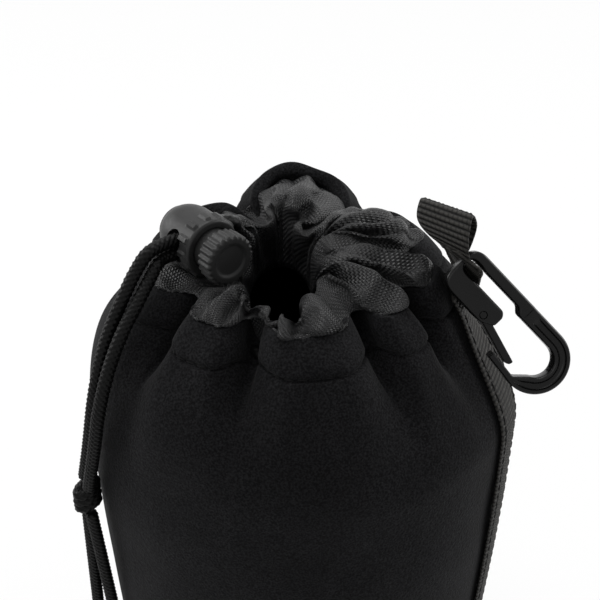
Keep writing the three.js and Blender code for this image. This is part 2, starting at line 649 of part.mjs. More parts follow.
const lengthways = HOOK_LENGTHWAYS.clone().normalize();
const through = lengthways.clone().cross(HOOK_CROSSWAYS).normalize();
const crossways = through.clone().cross(lengthways);
const hookFrame = new THREE.Matrix4().makeBasis(lengthways, crossways, through).setPosition(HOOK_ORIGIN);
const hookPoint = (u, v, w) => vec(u, v, w).applyMatrix4(hookFrame);

const spineEdge = BOW_CENTRE.y + BOW_RADIUS;
const spineInner = BOW_CENTRE.y + BOW_INNER_RADIUS;
const HEAD_ROUND = 4;
const hookOutline = new THREE.Shape();
const noseAngle = rad(-105);
hookOutline.moveTo(NOSE_TIP.x, NOSE_TIP.y + NOSE_THICKNESS);
hookOutline.lineTo(NOSE_TIP.x, NOSE_TIP.y);
hookOutline.absarc(BOW_CENTRE.x, BOW_CENTRE.y, BOW_RADIUS, noseAngle, Math.PI / 2, false);
hookOutline.lineTo(HEAD_END + HEAD_ROUND, spineEdge);
hookOutline.quadraticCurveTo(HEAD_END, spineEdge, HEAD_END, spineEdge - HEAD_ROUND);
hookOutline.lineTo(HEAD_END, BAR_EDGE + HEAD_ROUND);
hookOutline.quadraticCurveTo(HEAD_END, BAR_EDGE, HEAD_END + HEAD_ROUND, BAR_EDGE);
hookOutline.lineTo(BAR_END - 3.6, BAR_EDGE);
hookOutline.lineTo(BAR_END, BAR_EDGE + 2);
hookOutline.lineTo(BAR_END, SLOT_LOW - 1.2);
hookOutline.lineTo(BAR_END - 1.2, SLOT_LOW);
hookOutline.lineTo(SLOT_END, SLOT_LOW);
hookOutline.absarc(SLOT_END, (SLOT_LOW + SLOT_HIGH) / 2, (SLOT_HIGH - SLOT_LOW) / 2, -Math.PI / 2, Math.PI / 2, true);
hookOutline.lineTo(BAR_END + 0.6, SLOT_HIGH);
hookOutline.lineTo(BAR_END + 2.2, spineInner);
hookOutline.absarc(BOW_CENTRE.x, BOW_CENTRE.y, BOW_INNER_RADIUS, Math.PI / 2, rad(-60), true);
hookOutline.lineTo(BOW_CENTRE.x - 1, GATE_TIP.y - GATE_THICKNESS / 2 - SOFT_CLEARANCE);
hookOutline.closePath();

// A flat shape thickened evenly about w = 0, with its edges broken by a bevel.
function plate(shape, thickness, bevel, divisions) {
  const geometry = new THREE.ExtrudeGeometry(outlineOf(shape, divisions), {
    depth: thickness - 2 * bevel,
    bevelEnabled: bevel > 0,
    bevelThickness: bevel,
    bevelSize: bevel,
    bevelOffset: -bevel,
    bevelSegments: 1,
  });
  return geometry.translate(0, 0, bevel - thickness / 2);
}

const grooveMid = (spineEdge + spineInner) / 2;
const grooveRadius = grooveMid - BOW_CENTRE.y;
const grooveOutline = new THREE.Shape();
grooveOutline.moveTo(BAR_END + 4, grooveMid + GROOVE_WIDTH / 2);
grooveOutline.lineTo(BAR_END + 4, grooveMid - GROOVE_WIDTH / 2);
grooveOutline.absarc(BOW_CENTRE.x, BOW_CENTRE.y, grooveRadius - GROOVE_WIDTH / 2, Math.PI / 2, rad(-70), true);
grooveOutline.absarc(BOW_CENTRE.x, BOW_CENTRE.y, grooveRadius + GROOVE_WIDTH / 2, rad(-70), Math.PI / 2, false);
grooveOutline.closePath();
const grooveCutter = (side) =>
  plate(grooveOutline, 2 * GROOVE_DEPTH, 0, 6).translate(0, 0, (side * HOOK_THICKNESS) / 2);

// The gate lies in a pocket between the bar's two cheeks and turns on studs in them.
const pocketWidth = GATE_WIDTH + 2 * CLEARANCE;
const pocketBack = GATE_PIVOT.x - GATE_THICKNESS / 2 - CLEARANCE;
const pocketTop = SLOT_LOW - 1;
const pocket = new THREE.BoxGeometry(BAR_END + 1 - pocketBack, pocketTop - BAR_EDGE + 1, pocketWidth).translate(
  (BAR_END + 1 + pocketBack) / 2,
  (pocketTop + BAR_EDGE - 1) / 2,
  0,
);
const studHole = new THREE.CylinderGeometry(GATE_STUD_RADIUS + RUNNING_CLEARANCE, GATE_STUD_RADIUS + RUNNING_CLEARANCE, HOOK_THICKNESS + 2, 12)
  .rotateX(Math.PI / 2)
  .translate(GATE_PIVOT.x, GATE_PIVOT.y, 0);
const hookPlate = plate(hookOutline, HOOK_THICKNESS, HOOK_BEVEL, 6);
part("carabiner_body", cut(hookPlate, grooveCutter(1), grooveCutter(-1), pocket, studHole).applyMatrix4(hookFrame), acetal, pouch);

const gateRun = GATE_TIP.clone().sub(GATE_PIVOT);
const gateLength = gateRun.length();
const leaf = new THREE.Shape();
leaf.absarc(0, 0, GATE_THICKNESS / 2, Math.PI / 2, (3 * Math.PI) / 2, false);
leaf.lineTo(gateLength - 1, -GATE_THICKNESS / 2);
leaf.lineTo(gateLength, -GATE_THICKNESS / 2 + 0.8);
leaf.lineTo(gateLength, GATE_THICKNESS / 2);
leaf.closePath();
const leafPlate = plate(leaf, GATE_WIDTH, 0.3, 4).rotateZ(gateRun.angle()).translate(GATE_PIVOT.x, GATE_PIVOT.y, 0);
const stud = new THREE.CylinderGeometry(GATE_STUD_RADIUS, GATE_STUD_RADIUS, GATE_WIDTH + 2 * GATE_STUD_LENGTH, 12)
  .rotateX(Math.PI / 2)
  .translate(GATE_PIVOT.x, GATE_PIVOT.y, 0);
part("carabiner_gate", join(leafPlate, stud).applyMatrix4(hookFrame), acetal, pouch);

// Hang loop: webbing that rises off the strap, twists, and passes through the carabiner's slot.
// Each step has its middle, the way its width runs, and its width.

const loopOffset = strapHigh + SOFT_CLEARANCE + WEBBING_THICKNESS / 2;
const frontways = vec(-Math.cos(rad(STRAP_TOP_AZIMUTH)), -Math.sin(rad(STRAP_TOP_AZIMUTH)), 0);
const hookWay = (u, v, w) => vec(u, v, w).transformDirection(hookFrame);
const slotMid = (SLOT_LOW + SLOT_HIGH) / 2;
const loopRoot = skin(STRAP_TOP_AZIMUTH, 0.76, loopOffset);
const loopRise = skin(STRAP_TOP_AZIMUTH, 0.9, loopOffset);
const loopRoute = [
  [loopRoot, frontways, 0.87 * WEBBING_WIDTH],
  [loopRise, frontways, 0.8 * WEBBING_WIDTH],
  [vec(35.6, -9.5, 166), vec(0.2, -0.98, 0), 0.9 * WEBBING_WIDTH],
  [vec(33.2, -8.5, 172), vec(0.42, -0.91, 0.05), WEBBING_WIDTH],
  [vec(33, -8, 178.3), vec(0.5, -0.85, 0.15), WEBBING_WIDTH],
  [vec(35.6, -10.8, 181.6), vec(0.52, -0.84, 0.2), WEBBING_WIDTH],
  [vec(38, -15.5, 179), vec(0.4, -0.88, 0.25), 0.87 * WEBBING_WIDTH],
  [hookPoint(-4.6, slotMid + 1.6, 7.6), hookWay(0.3, 0.1, 0.95), 0.62 * WEBBING_WIDTH],
  [hookPoint(-0.8, slotMid + 0.6, 6.2), hookWay(0.3, 0, 0.95), 0.45 * WEBBING_WIDTH],
  [hookPoint(2, slotMid - 0.2, 0), hookWay(0.92, 0, 0.4), 0.36 * WEBBING_WIDTH],
  [hookPoint(3.6, slotMid - 1.2, -6.4), hookWay(0.8, -0.1, 0.58), 0.5 * WEBBING_WIDTH],
];
const LOOP_STEPS = 44;
const loopPath = new THREE.CatmullRomCurve3(loopRoute.map(([point]) => point), true, "centripetal");
const widthPath = new THREE.CatmullRomCurve3(
  loopRoute.map(([, direction, width]) => direction.clone().setLength(width)),
  true,
  "centripetal",
);
const loopLoops = Array.from({ length: LOOP_STEPS }, (_, k) => {
  const share = k / LOOP_STEPS;
  const middle = loopPath.getPoint(share);
  const tangent = loopPath.getTangent(share);
  const half = widthPath.getPoint(share).multiplyScalar(0.5);
  const lift = half.clone().cross(tangent).setLength(WEBBING_THICKNESS / 2);
  const corner = (across, up) => middle.clone().addScaledVector(half, across).addScaledVector(lift, up);
  return [corner(-1, 1), corner(-1, -1), corner(1, -1), corner(1, 1)];
});
part("hang_loop", loft(loopLoops, true), webbing, pouch);

export default pouch;
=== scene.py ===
"""Looks of a padded drawstring lens pouch with a cord lock, a hang loop and a spring-gate hook."""

import math

import bmesh
import bpy
import numpy as np
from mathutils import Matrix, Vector


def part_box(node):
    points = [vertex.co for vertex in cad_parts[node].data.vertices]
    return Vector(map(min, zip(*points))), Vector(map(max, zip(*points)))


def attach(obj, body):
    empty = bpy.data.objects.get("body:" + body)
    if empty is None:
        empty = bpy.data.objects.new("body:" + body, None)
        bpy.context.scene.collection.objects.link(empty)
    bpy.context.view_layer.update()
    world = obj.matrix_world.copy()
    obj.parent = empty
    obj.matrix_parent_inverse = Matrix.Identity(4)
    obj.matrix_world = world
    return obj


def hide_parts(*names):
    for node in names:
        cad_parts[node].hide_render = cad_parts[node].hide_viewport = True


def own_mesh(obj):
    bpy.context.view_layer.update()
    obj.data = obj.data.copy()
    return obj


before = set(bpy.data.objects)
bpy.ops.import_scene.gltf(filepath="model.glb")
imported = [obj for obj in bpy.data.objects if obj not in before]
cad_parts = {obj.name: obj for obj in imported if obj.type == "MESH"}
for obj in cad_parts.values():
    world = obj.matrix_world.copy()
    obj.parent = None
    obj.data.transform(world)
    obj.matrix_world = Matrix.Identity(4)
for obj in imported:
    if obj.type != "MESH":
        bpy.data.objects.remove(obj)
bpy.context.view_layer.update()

bl_info = {
    "name": "Drawstring Lens Pouch",
    "version": (1, 0, 0),
    "blender": (4, 5, 0),
    "location": "3D View > Sidebar > Pouch",
    "description": "Builds the visible pieces of a padded drawstring lens pouch",
    "category": "Object",
}

MM = 0.001  # shapes are worked out in millimetres and stored in metres
TURN = 2 * np.pi

# Shell of the pouch, as in the part's source. Azimuth is in degrees from the front towards +X.
# Share is -1 at the foot, 0 at the belly and 1 at the rim.
WALL_THICKNESS = 4.5
BASE_RADIUS = 54.0
BELLY_RADIUS = 60.5
BELLY_HEIGHT = 120.0
FOOT_HEIGHT = 0.9
SHOULDER = np.array([(60.5, 120.0), (60.5, 137.2), (44.84, 150.96), (33.5, 163.0)])
RIM_SHIFT = (-2.0, -4.0)
RIM_HEIGHT = 163.0
BACK_HEIGHT = 10.0
BACK_SPREAD = 27.0
LOBE_DEPTH = 5.5
FOLD_SHARPNESS = 3.0
FOLD_DEPTH = 1.3  # how far a fold goes in, as a share of the lobe depth
FOLDS = np.array([31.0, 57.0, 92.0, 144.0, 208.0, 256.0, 310.0, 344.5])
LOBE_COLUMNS = 64
WALL_COLUMNS = LOBE_COLUMNS * len(FOLDS)
STRAP_FOOT_AZIMUTH = 68.0
STRAP_TOP_AZIMUTH = 80.0
STRAP_PULL = 5.0
STRAP_SPREAD = 34.0
STRAP_TOP = 0.86
STRAP_LOW = 0.78  # from the skin to the strap's underside
STITCH_TOP = 0.73  # share where the strap's stitching ends
SEAM_PLACE = 0.76  # of the strap's half width
WEBBING_THICKNESS = 1.4
RIB_HEIGHT = 0.4
WARP_SPACING = 1.3

# Mouth and the gathered casing
MOUTH_CENTRE = (-5.0, -13.5)
MOUTH_HALF_WIDTH = 8.5
MOUTH_HALF_LENGTH = 20.5
CHANNEL_HEIGHT = 153.5
LIP_HEIGHT = 163.0
CASING_COLUMNS = 264
CASING_ROWS = 24
GATHER_FRAMES = 28
LOCK_AZIMUTH = 290.0
LOCK_PRESS = 7.5  # how far the lock presses the cloth down
LOCK_SPREAD = 44.0
LOOP_PRESS = 2.5
LOOP_SPREAD = 18.0
DOME_AZIMUTH = 184.0  # middle of the tall lobe at the back
DOME_SPREAD = 62.0
COVER_FRONT = 0.6  # from the skin in to the casing's sewn edge
COVER_BACK = 4.0
HEM_ROLL = 1.25
EDGE_DROP = 2.2  # how far below the rim that edge lies at the back
LIP_RISE = 5.5
PLEATS = 24
PLEAT_HEIGHT = 1.5
CLOTH_UNIT = 50.0  # millimetres in a unit of the cloth solver
SHRINK_LEVELS = 40

# Lining and binding
LINING_CLEARANCE = 1.1
LINING_THICKNESS = 1.5
LINING_SHARES = (-0.93, 0.58)
TAPE_THICKNESS = 1.1
TAPE_CORNER = 3.0
TAPE_UNDER = 7.0  # how far the tape reaches under the foot

# Drawcord
CORD_PITCH = 3.9
BRAID_CARRIERS = 6
BRAID_CORE = 0.72  # radius in the braid's grooves, as a share
BRAID_DEPTH = 0.3
KNOT_CENTRE = np.array((-58.7, -28.9, 101.5))
KNOT_LENGTH = 10.0
TAIL_LENGTH = 58.0

# Cord lock: the button points along LOCK_AXIS and the strands leave along CORD_OUT.
LOCK_CENTRE = np.array((-26.0, -10.0, 171.8))
LOCK_TURN = math.radians(-51.5)
LOCK_AXIS = np.array((math.cos(LOCK_TURN), math.sin(LOCK_TURN), 0.0))
CORD_OUT = np.array((math.sin(LOCK_TURN), -math.cos(LOCK_TURN), 0.0))
UPRIGHT = np.array((0.0, 0.0, 1.0))
BARREL_RADIUS = 7.8
BARREL_BACK = 11.3
BARREL_MOUTH = 6.7
BARREL_DOME = 8.2
BORE_RADIUS = 5.7
BORE_FLOOR = 9.5
STEM_BACK = 3.4
STEM_RADIUS = 5.5
BUTTON_START = 9.7
BUTTON_LENGTH = 5.0
BUTTON_RADIUS = 6.9
STRAND_HOLE = 2.9
HOLE_REACH = 16.0
LOCK_ROOM = BARREL_RADIUS + 0.8
LOCK_ROOM_BACK = BARREL_BACK - BARREL_RADIUS + 0.4
LOCK_ROOM_FRONT = BUTTON_START + BUTTON_LENGTH - 4.2
PLUNGER_TRAVEL = 2.6
SPRING_RADIUS = 3.8
SPRING_TURNS = 2.5
WIRE_RADIUS = 0.35

# Hook: drawn flat along HOOK_U and HOOK_V, thick along HOOK_W
HOOK_ORIGIN = np.array((40.6, -19.5, 167.0))
HOOK_U = np.array((0.6949, -0.274, -0.6649))
HOOK_V = np.array((0.7175, 0.3257, 0.6157))
HOOK_W = np.array((0.0479, -0.9049, 0.4229))
HOOK_THICKNESS = 4.8
HOOK_GROOVE_DEPTH = 0.9
HEAD_END = -2.5
BAR_END = 15.6
BAR_EDGE = -4.9
SLOT_LOW = 1.3
SLOT_HIGH = 4.8
SLOT_END = 0.3
BOW_CENTRE = np.array((29.4, -1.2))
BOW_RADIUS = 9.0
BOW_INNER_RADIUS = 4.5
NOSE_TIP = (20.4, -9.3)
NOSE_THICKNESS = 1.7
GATE_PIVOT = np.array((11.4, -3.0))
GATE_TIP = np.array((25.6, -6.7))
GATE_THICKNESS = 2.0
GATE_WIDTH = 3.2
GATE_STUD_RADIUS = 0.9
GATE_STUD_LENGTH = 0.8

# Camera and lamps, in metres. A lamp has a place, a size and a power.
CAMERA_DISTANCE = 0.3
CAMERA_ELEVATION = math.radians(32)
AIM_HEIGHT = 0.147
FOCAL_LENGTH = 64.8
LAMPS = (
    ("lamp_above", (-0.15, 0.3, 1.2), 0.8, 9.0),
    ("lamp_left", (-1.1, 0.35, 0.55), 0.7, 8.0),
    ("lamp_right", (1.1, 0.35, 0.6), 0.7, 8.0),
    ("lamp_front", (-0.5, -1.2, 1.0), 0.6, 2.5),
)


def linear(hex_colour):
    """An sRGB hex colour as linear red, green, blue and alpha."""
    channels = [int(hex_colour[k : k + 2], 16) / 255 for k in (1, 3, 5)]
    return tuple(c / 12.92 if c <= 0.04045 else ((c + 0.055) / 1.055) ** 2.4 for c in channels) + (1.0,)


def length_property(name, description, millimetres):
    """A length that a user may change, kept in metres."""
    return bpy.props.FloatProperty(
        name=name, description=description, default=millimetres * MM, min=0.0, unit="LENGTH", precision=5
    )


def colour_property(name, description, hex_colour):
    """A colour that a user may change."""
    return bpy.props.FloatVectorProperty(
        name=name,
        description=description,
        default=linear(hex_colour),
        size=4,
        min=0.0,
        max=1.0,
        subtype="COLOR",
    )


class PouchSizes(bpy.types.PropertyGroup):
    """Sizes of the sewn and woven details"""

    hem_depth: length_property("Hem depth", "From the rim down to the hem's stitching", 10)
    stitch_length: length_property("Stitch length", "Length of one sewn stitch", 2.8)
    stitch_gap: length_property("Stitch gap", "Space between two stitches", 0.5)
    thread: length_property("Thread", "Thickness of the sewing thread", 0.4)
    cord_diameter: length_property("Cord diameter", "Diameter of the drawcord", 3.6)
    braid_step: length_property("Braid step", "Length of one crossing of the braid along the cord", 1.5)
    webbing_width: length_property("Webbing width", "Width of the side strap and the hang loop", 15)
    webbing_rib: length_property("Webbing rib", "Spacing of the ribs across the webbing", 1.45)
    nylon_thickness: length_property("Nylon thickness", "Thickness of the gathered fabric", 0.35)
    hook_edge: length_property("Hook edge", "Radius of the hook's rounded edges", 0.9)


class PouchColours(bpy.types.PropertyGroup):
    """Colours of the materials"""

    neoprene: colour_property("Neoprene", "Jersey face of the padded wall", "#171718")
    nylon: colour_property("Nylon", "Woven fabric of the gathered casing", "#161617")
    braid: colour_property("Braid", "Polyester drawcord", "#080808")
    webbing: colour_property("Webbing", "Polypropylene webbing", "#2a2927")
    thread: colour_property("Thread", "Sewing thread", "#1b1b1b")
    plush: colour_property("Plush", "Pile of the lining", "#121213")
    lock: colour_property("Lock", "Moulded cord lock", "#272727")
    hook: colour_property("Hook", "Moulded hook and gate", "#0b0b0b")
    wire: colour_property("Wire", "Steel spring wire", "#b9b9b6")


def unit(vectors):
    """Vectors scaled to length one."""
    vectors = np.asarray(vectors, float)
    return vectors / np.maximum(np.linalg.norm(vectors, axis=-1, keepdims=True), 1e-12)


def smoothstep(values, low=0.0, high=1.0):
    """0 below low, 1 above high, and a smooth cubic between."""
    share = np.clip((np.asarray(values, float) - low) / (high - low), 0, 1)
    return share * share * (3 - 2 * share)


def lerp(start, end, share):
    """The point a share of the way from start to end."""
    return start + (end - start) * share


def bell(values, middle, spread):
    """A bell curve of height one."""
    return np.exp(-(((np.asarray(values, float) - middle) / spread) ** 2))


def wrap(degrees):
    """An angle brought into -180 to 180."""
    return (np.asarray(degrees, float) + 180) % 360 - 180


def ripples(points, wavelength, seed):
    """Soft irregular waves of about -1 to 1: ten plane waves whose directions step by the golden angle."""
    k = np.arange(10)
    turn = 2.39996 * k + seed
    lift = np.sin(1.7 * k + 2.3 * seed)
    flat = np.sqrt(1 - 0.9 * lift**2)
    ways = np.stack([np.cos(turn) * flat, np.sin(turn) * flat, lift])
    lengths = wavelength * (0.65 + 0.7 * ((0.618 * k + 0.37 * seed) % 1))
    phases = TURN * ((0.7549 * k + 0.171 * seed) % 1)
    return np.sin(TURN * (points @ ways) / lengths + phases).sum(-1) / 3.2


def distances(path):
    """Length from the start of a path to each of its points: the running sum of its steps."""
    return np.concatenate([[0], np.cumsum(np.linalg.norm(np.diff(path, axis=0), axis=1))])


def sampled(values, distance, wanted):
    """Rows of values at the wanted distances, on straight lines between neighbours."""
    return np.stack([np.interp(wanted, distance, column) for column in values.T], -1)


def smooth_curve(route, count, closed=False):
    """Centripetal Catmull-Rom curve through the route's points, sampled at even steps of length."""
    route = np.asarray(route, float)
    total = len(route)
    if closed:
        padded = np.concatenate([route[-1:], route, route[:2]])
        spans = total
    else:
        padded = np.concatenate([2 * route[:1] - route[1:2], route, 2 * route[-1:] - route[-2:-1]])
        spans = total - 1
    dense = np.linspace(0, spans, 60 * spans + 1)
    index = np.minimum(dense.astype(int), spans - 1)
    w = (dense - index)[:, None]
    p0, p1, p2, p3 = (padded[index + k] for k in range(4))
    pairs = ((p0, p1), (p1, p2), (p2, p3))
    d0, d1, d2 = (np.maximum(np.linalg.norm(b - a, axis=1)[:, None] ** 0.5, 1e-6) for a, b in pairs)
    m1 = ((p1 - p0) / d0 - (p2 - p0) / (d0 + d1) + (p2 - p1) / d1) * d1
    m2 = ((p2 - p1) / d1 - (p3 - p1) / (d1 + d2) + (p3 - p2) / d2) * d1
    points = p1 + m1 * w + (3 * (p2 - p1) - 2 * m1 - m2) * w**2 + (2 * (p1 - p2) + m1 + m2) * w**3
    distance = distances(points[:, :3])
    wanted = np.linspace(0, distance[-1], count + 1 if closed else count)
    if closed:
        wanted = wanted[:-1]
    return sampled(points, distance, wanted), distance[-1]


def tangents(path, closed=False):
    """Directions along a path by central differences."""
    if closed:
        return unit(np.roll(path, -1, 0) - np.roll(path, 1, 0))
    return unit(np.gradient(path, axis=0))


def grid_faces(rows, columns, around=False, along=False):
    """Corners of the quads of a grid, and the row and column steps of each corner before they wrap."""
    r, c = np.meshgrid(
        np.arange(rows if along else rows - 1), np.arange(columns if around else columns - 1), indexing="ij"
    )
    corner_rows = np.stack([r, r, r + 1, r + 1], -1).reshape(-1, 4)
    corner_columns = np.stack([c, c + 1, c + 1, c], -1).reshape(-1, 4)
    corners = (corner_rows % rows) * columns + corner_columns % columns
    return corners, corner_rows, corner_columns


def new_mesh(name, points, quads, uv=None):
    """A mesh from points in millimetres and quads, with a UV map in millimetres where given."""
    mesh = bpy.data.meshes.new(name)
    mesh.vertices.add(len(points))
    mesh.vertices.foreach_set("co", (np.asarray(points) * MM).ravel())
    mesh.loops.add(quads.size)
    mesh.loops.foreach_set("vertex_index", quads.ravel().astype(np.int32))
    mesh.polygons.add(len(quads))
    mesh.polygons.foreach_set("loop_start", (np.arange(len(quads)) * quads.shape[1]).astype(np.int32))
    mesh.update(calc_edges=True)
    if uv is not None:
        layer = mesh.uv_layers.new(name="cloth")
        layer.data.foreach_set("uv", np.asarray(uv, float).ravel())
    mesh.validate()
    return mesh


def grid_mesh(name, points, around=False, along=False, uv=None):
    """A grid of points as quads: around joins the last column to the first, and along the last row."""
    rows, columns = points.shape[:2]
    quads, corner_rows, corner_columns = grid_faces(rows, columns, around, along)
    corner_uv = None if uv is None else uv[corner_rows, corner_columns]
    return new_mesh(name, points.reshape(-1, 3), quads, corner_uv)


def weld(mesh, distance=1e-6):
    """Joins points that fall together, such as a pole's, splits big faces and turns the faces outwards."""
    work = bmesh.new()
    work.from_mesh(mesh)
    big = [face for face in work.faces if len(face.verts) > 4]
    bmesh.ops.triangulate(work, faces=big, ngon_method="EAR_CLIP")
    bmesh.ops.remove_doubles(work, verts=work.verts, dist=distance)
    bmesh.ops.dissolve_degenerate(work, edges=work.edges, dist=distance * 0.1)
    bmesh.ops.recalc_face_normals(work, faces=work.faces)
    work.to_mesh(mesh)
    work.free()
    return mesh


def new_object(name, mesh, material):
    """An object at the origin with one material and smooth faces."""
    piece = bpy.data.objects.new(name, mesh)
    bpy.context.scene.collection.objects.link(piece)
    mesh.materials.clear()
    mesh.materials.append(material)
    mesh.shade_smooth()
    return piece


def place(piece, body, slot, *nodes):
    """Lets a piece ride on a body and stand for CAD nodes, which it hides; the slot argument is not used."""
    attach(piece, body)
    if nodes:
        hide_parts(*nodes)
    return piece


def cut_with(piece, cutter):
    """Takes the cutter's volume out of a piece and removes the cutter."""
    change = piece.modifiers.new("cut", "BOOLEAN")
    change.operation = "DIFFERENCE"
    change.solver = "EXACT"
    change.object = cutter
    bpy.context.view_layer.update()
    graph = bpy.context.evaluated_depsgraph_get()
    result = bpy.data.meshes.new_from_object(piece.evaluated_get(graph))
    piece.modifiers.clear()
    old = piece.data
    piece.data = weld(result, 2e-6)
    result.name = old.name
    bpy.data.meshes.remove(old)
    spent = cutter.data
    bpy.data.objects.remove(cutter)
    bpy.data.meshes.remove(spent)
    return piece


# Shell surface


def lobe_wave(azimuth):
    """1 over most of a lobe and less in a fold: one less a power of a raised cosine."""
    turned = (np.asarray(azimuth, float) - FOLDS[0]) % 360 + FOLDS[0]
    ends = np.append(FOLDS, FOLDS[0] + 360)
    index = np.clip(np.searchsorted(ends, turned, side="right") - 1, 0, len(FOLDS) - 1)
    along = (turned - ends[index]) / (ends[index + 1] - ends[index])
    return 1 - FOLD_DEPTH * ((1 + np.cos(TURN * along)) / 2) ** FOLD_SHARPNESS


def strap_azimuth(share):
    """Where the side strap runs: it leans back above the belly."""
    return lerp(STRAP_FOOT_AZIMUTH, STRAP_TOP_AZIMUTH, smoothstep(share, 0, 0.75))


def shell_middle(azimuth, share):
    """The skin: a sine-curved side, a Bezier shoulder, lobes that deepen to the rim and the strap's pull."""
    azimuth, share = np.broadcast_arrays(np.asarray(azimuth, float), np.asarray(share, float))
    rise = np.clip(share, 0, 1)
    b = [(1 - rise) ** 3, 3 * rise * (1 - rise) ** 2, 3 * rise**2 * (1 - rise), rise**3]
    upper = sum(weight[..., None] * corner for weight, corner in zip(b, SHOULDER))
    low_height = lerp(BELLY_HEIGHT, FOOT_HEIGHT, np.clip(-share, 0, 1))
    low_radius = lerp(BASE_RADIUS, BELLY_RADIUS, np.sin(np.pi / 2 * low_height / BELLY_HEIGHT))
    radius = np.where(share < 0, low_radius, upper[..., 0])
    height = np.where(share < 0, low_height, upper[..., 1])
    gather = smoothstep(share)
    from_strap = wrap(azimuth - strap_azimuth(share))
    pull = STRAP_PULL * np.sin(np.pi * rise) ** 2 * bell(from_strap, 0, STRAP_SPREAD)
    reach = radius + LOBE_DEPTH * gather * lobe_wave(azimuth) - pull
    back = BACK_HEIGHT * bell(wrap(azimuth - 180), 0, BACK_SPREAD)
    angle = np.radians(azimuth)
    return np.stack(
        [
            reach * np.sin(angle) + RIM_SHIFT[0] * gather,
            -reach * np.cos(angle) + RIM_SHIFT[1] * gather,
            height + back * gather,
        ],
        axis=-1,
    )


def shell_ways(azimuth, share):
    """Outward normal and upward direction of the skin, by small differences."""
    azimuth, share = np.broadcast_arrays(np.asarray(azimuth, float), np.asarray(share, float))
    sideways = shell_middle(azimuth + 0.5, share) - shell_middle(azimuth - 0.5, share)
    above = shell_middle(azimuth, np.minimum(share + 0.006, 1))
    below = shell_middle(azimuth, np.maximum(share - 0.006, -1))
    upward = above - below
    return unit(np.cross(sideways, upward)), unit(upward)


def skin(azimuth, share, out=0.0):
    """A point at a distance out from the skin."""
    normal, _ = shell_ways(azimuth, share)
    return shell_middle(azimuth, share) + normal * np.asarray(out, float)[..., None]


# Materials


def add_node(tree, kind, inputs=None, **settings):
    """Adds a node, sets its settings, and sets or links its inputs by name or number."""
    node = tree.nodes.new(kind)
    for key, value in settings.items():
        setattr(node, key, value)
    for key, value in (inputs or {}).items():
        if isinstance(value, bpy.types.NodeSocket):
            tree.links.new(value, node.inputs[key])
        else:
            node.inputs[key].default_value = value
    return node


def new_material(name):
    """An empty node material with its shader and output."""
    material = bpy.data.materials.get(name)
    if material:
        return material, None, None
    material = bpy.data.materials.new(name)
    material.use_nodes = True
    tree = material.node_tree
    tree.nodes.clear()
    shader = add_node(tree, "ShaderNodeBsdfPrincipled")
    add_node(tree, "ShaderNodeOutputMaterial", {"Surface": shader.outputs[0]})
    return material, tree, shader


def seen_rays(tree):
    """1 for rays that the camera sees, straight, through glass or in a gloss, and 0 for the others."""
    path = add_node(tree, "ShaderNodeLightPath")
    rays = [path.outputs["Is " + kind + " Ray"] for kind in ("Camera", "Transmission", "Glossy")]
    first = add_node(tree, "ShaderNodeMath", {0: rays[0], 1: rays[1]}, operation="MAXIMUM")
    return add_node(tree, "ShaderNodeMath", {0: first.outputs[0], 1: rays[2]}, operation="MAXIMUM")


def shade(colour, factor):
    """A colour made lighter or darker."""
    return tuple(min(1.0, channel * factor) for channel in colour[:3]) + (1.0,)


def neoprene_jersey():
    """Foam rubber faced with knitted polyester: matt, with a fine speckle of loops and a soft sheen."""
    material, tree, shader = new_material("neoprene_jersey")
    if not tree:
        return material
    colour = bpy.context.scene.pouch_colours.neoprene
    spot = add_node(tree, "ShaderNodeTexCoord").outputs["Object"]
    # Knit loops are about 0.5 mm; drawn at 0.9 mm so that they show.
    loops = add_node(tree, "ShaderNodeTexVoronoi", {"Vector": spot, "Scale": 1 / (0.9 * MM)})
    wear = add_node(tree, "ShaderNodeTexNoise", {"Vector": spot, "Scale": 1 / (14 * MM), "Detail": 4.0})
    fibre = add_node(tree, "ShaderNodeTexNoise", {"Vector": spot, "Scale": 1 / (0.5 * MM), "Detail": 1.0})
    speck = add_node(tree, "ShaderNodeMapRange", {0: fibre.outputs[0], 1: 0.36, 2: 0.66})
    shades = {0: speck.outputs[0], 6: shade(colour, 0.5), 7: shade(colour, 1.85)}
    tone = add_node(tree, "ShaderNodeMix", shades, data_type="RGBA")
    patch = add_node(tree, "ShaderNodeMapRange", {0: wear.outputs[0], 1: 0.3, 2: 0.7, 3: 0.8, 4: 1.15})
    mixed = add_node(
        tree,
        "ShaderNodeMix",
        {0: 1.0, 6: tone.outputs[2], 7: patch.outputs[0]},
        data_type="RGBA",
        blend_type="MULTIPLY",
    )
    surface = {"Height": loops.outputs[0], "Strength": 0.5, "Distance": 0.25 * MM}
    bump = add_node(tree, "ShaderNodeBump", surface)
    tree.links.new(mixed.outputs[2], shader.inputs["Base Color"])
    tree.links.new(bump.outputs[0], shader.inputs["Normal"])
    shader.inputs["Roughness"].default_value = 0.85
    shader.inputs["Specular IOR Level"].default_value = 0.05
    shader.inputs["Sheen Weight"].default_value = 0.02
    shader.inputs["Sheen Roughness"].default_value = 0.45
    return material


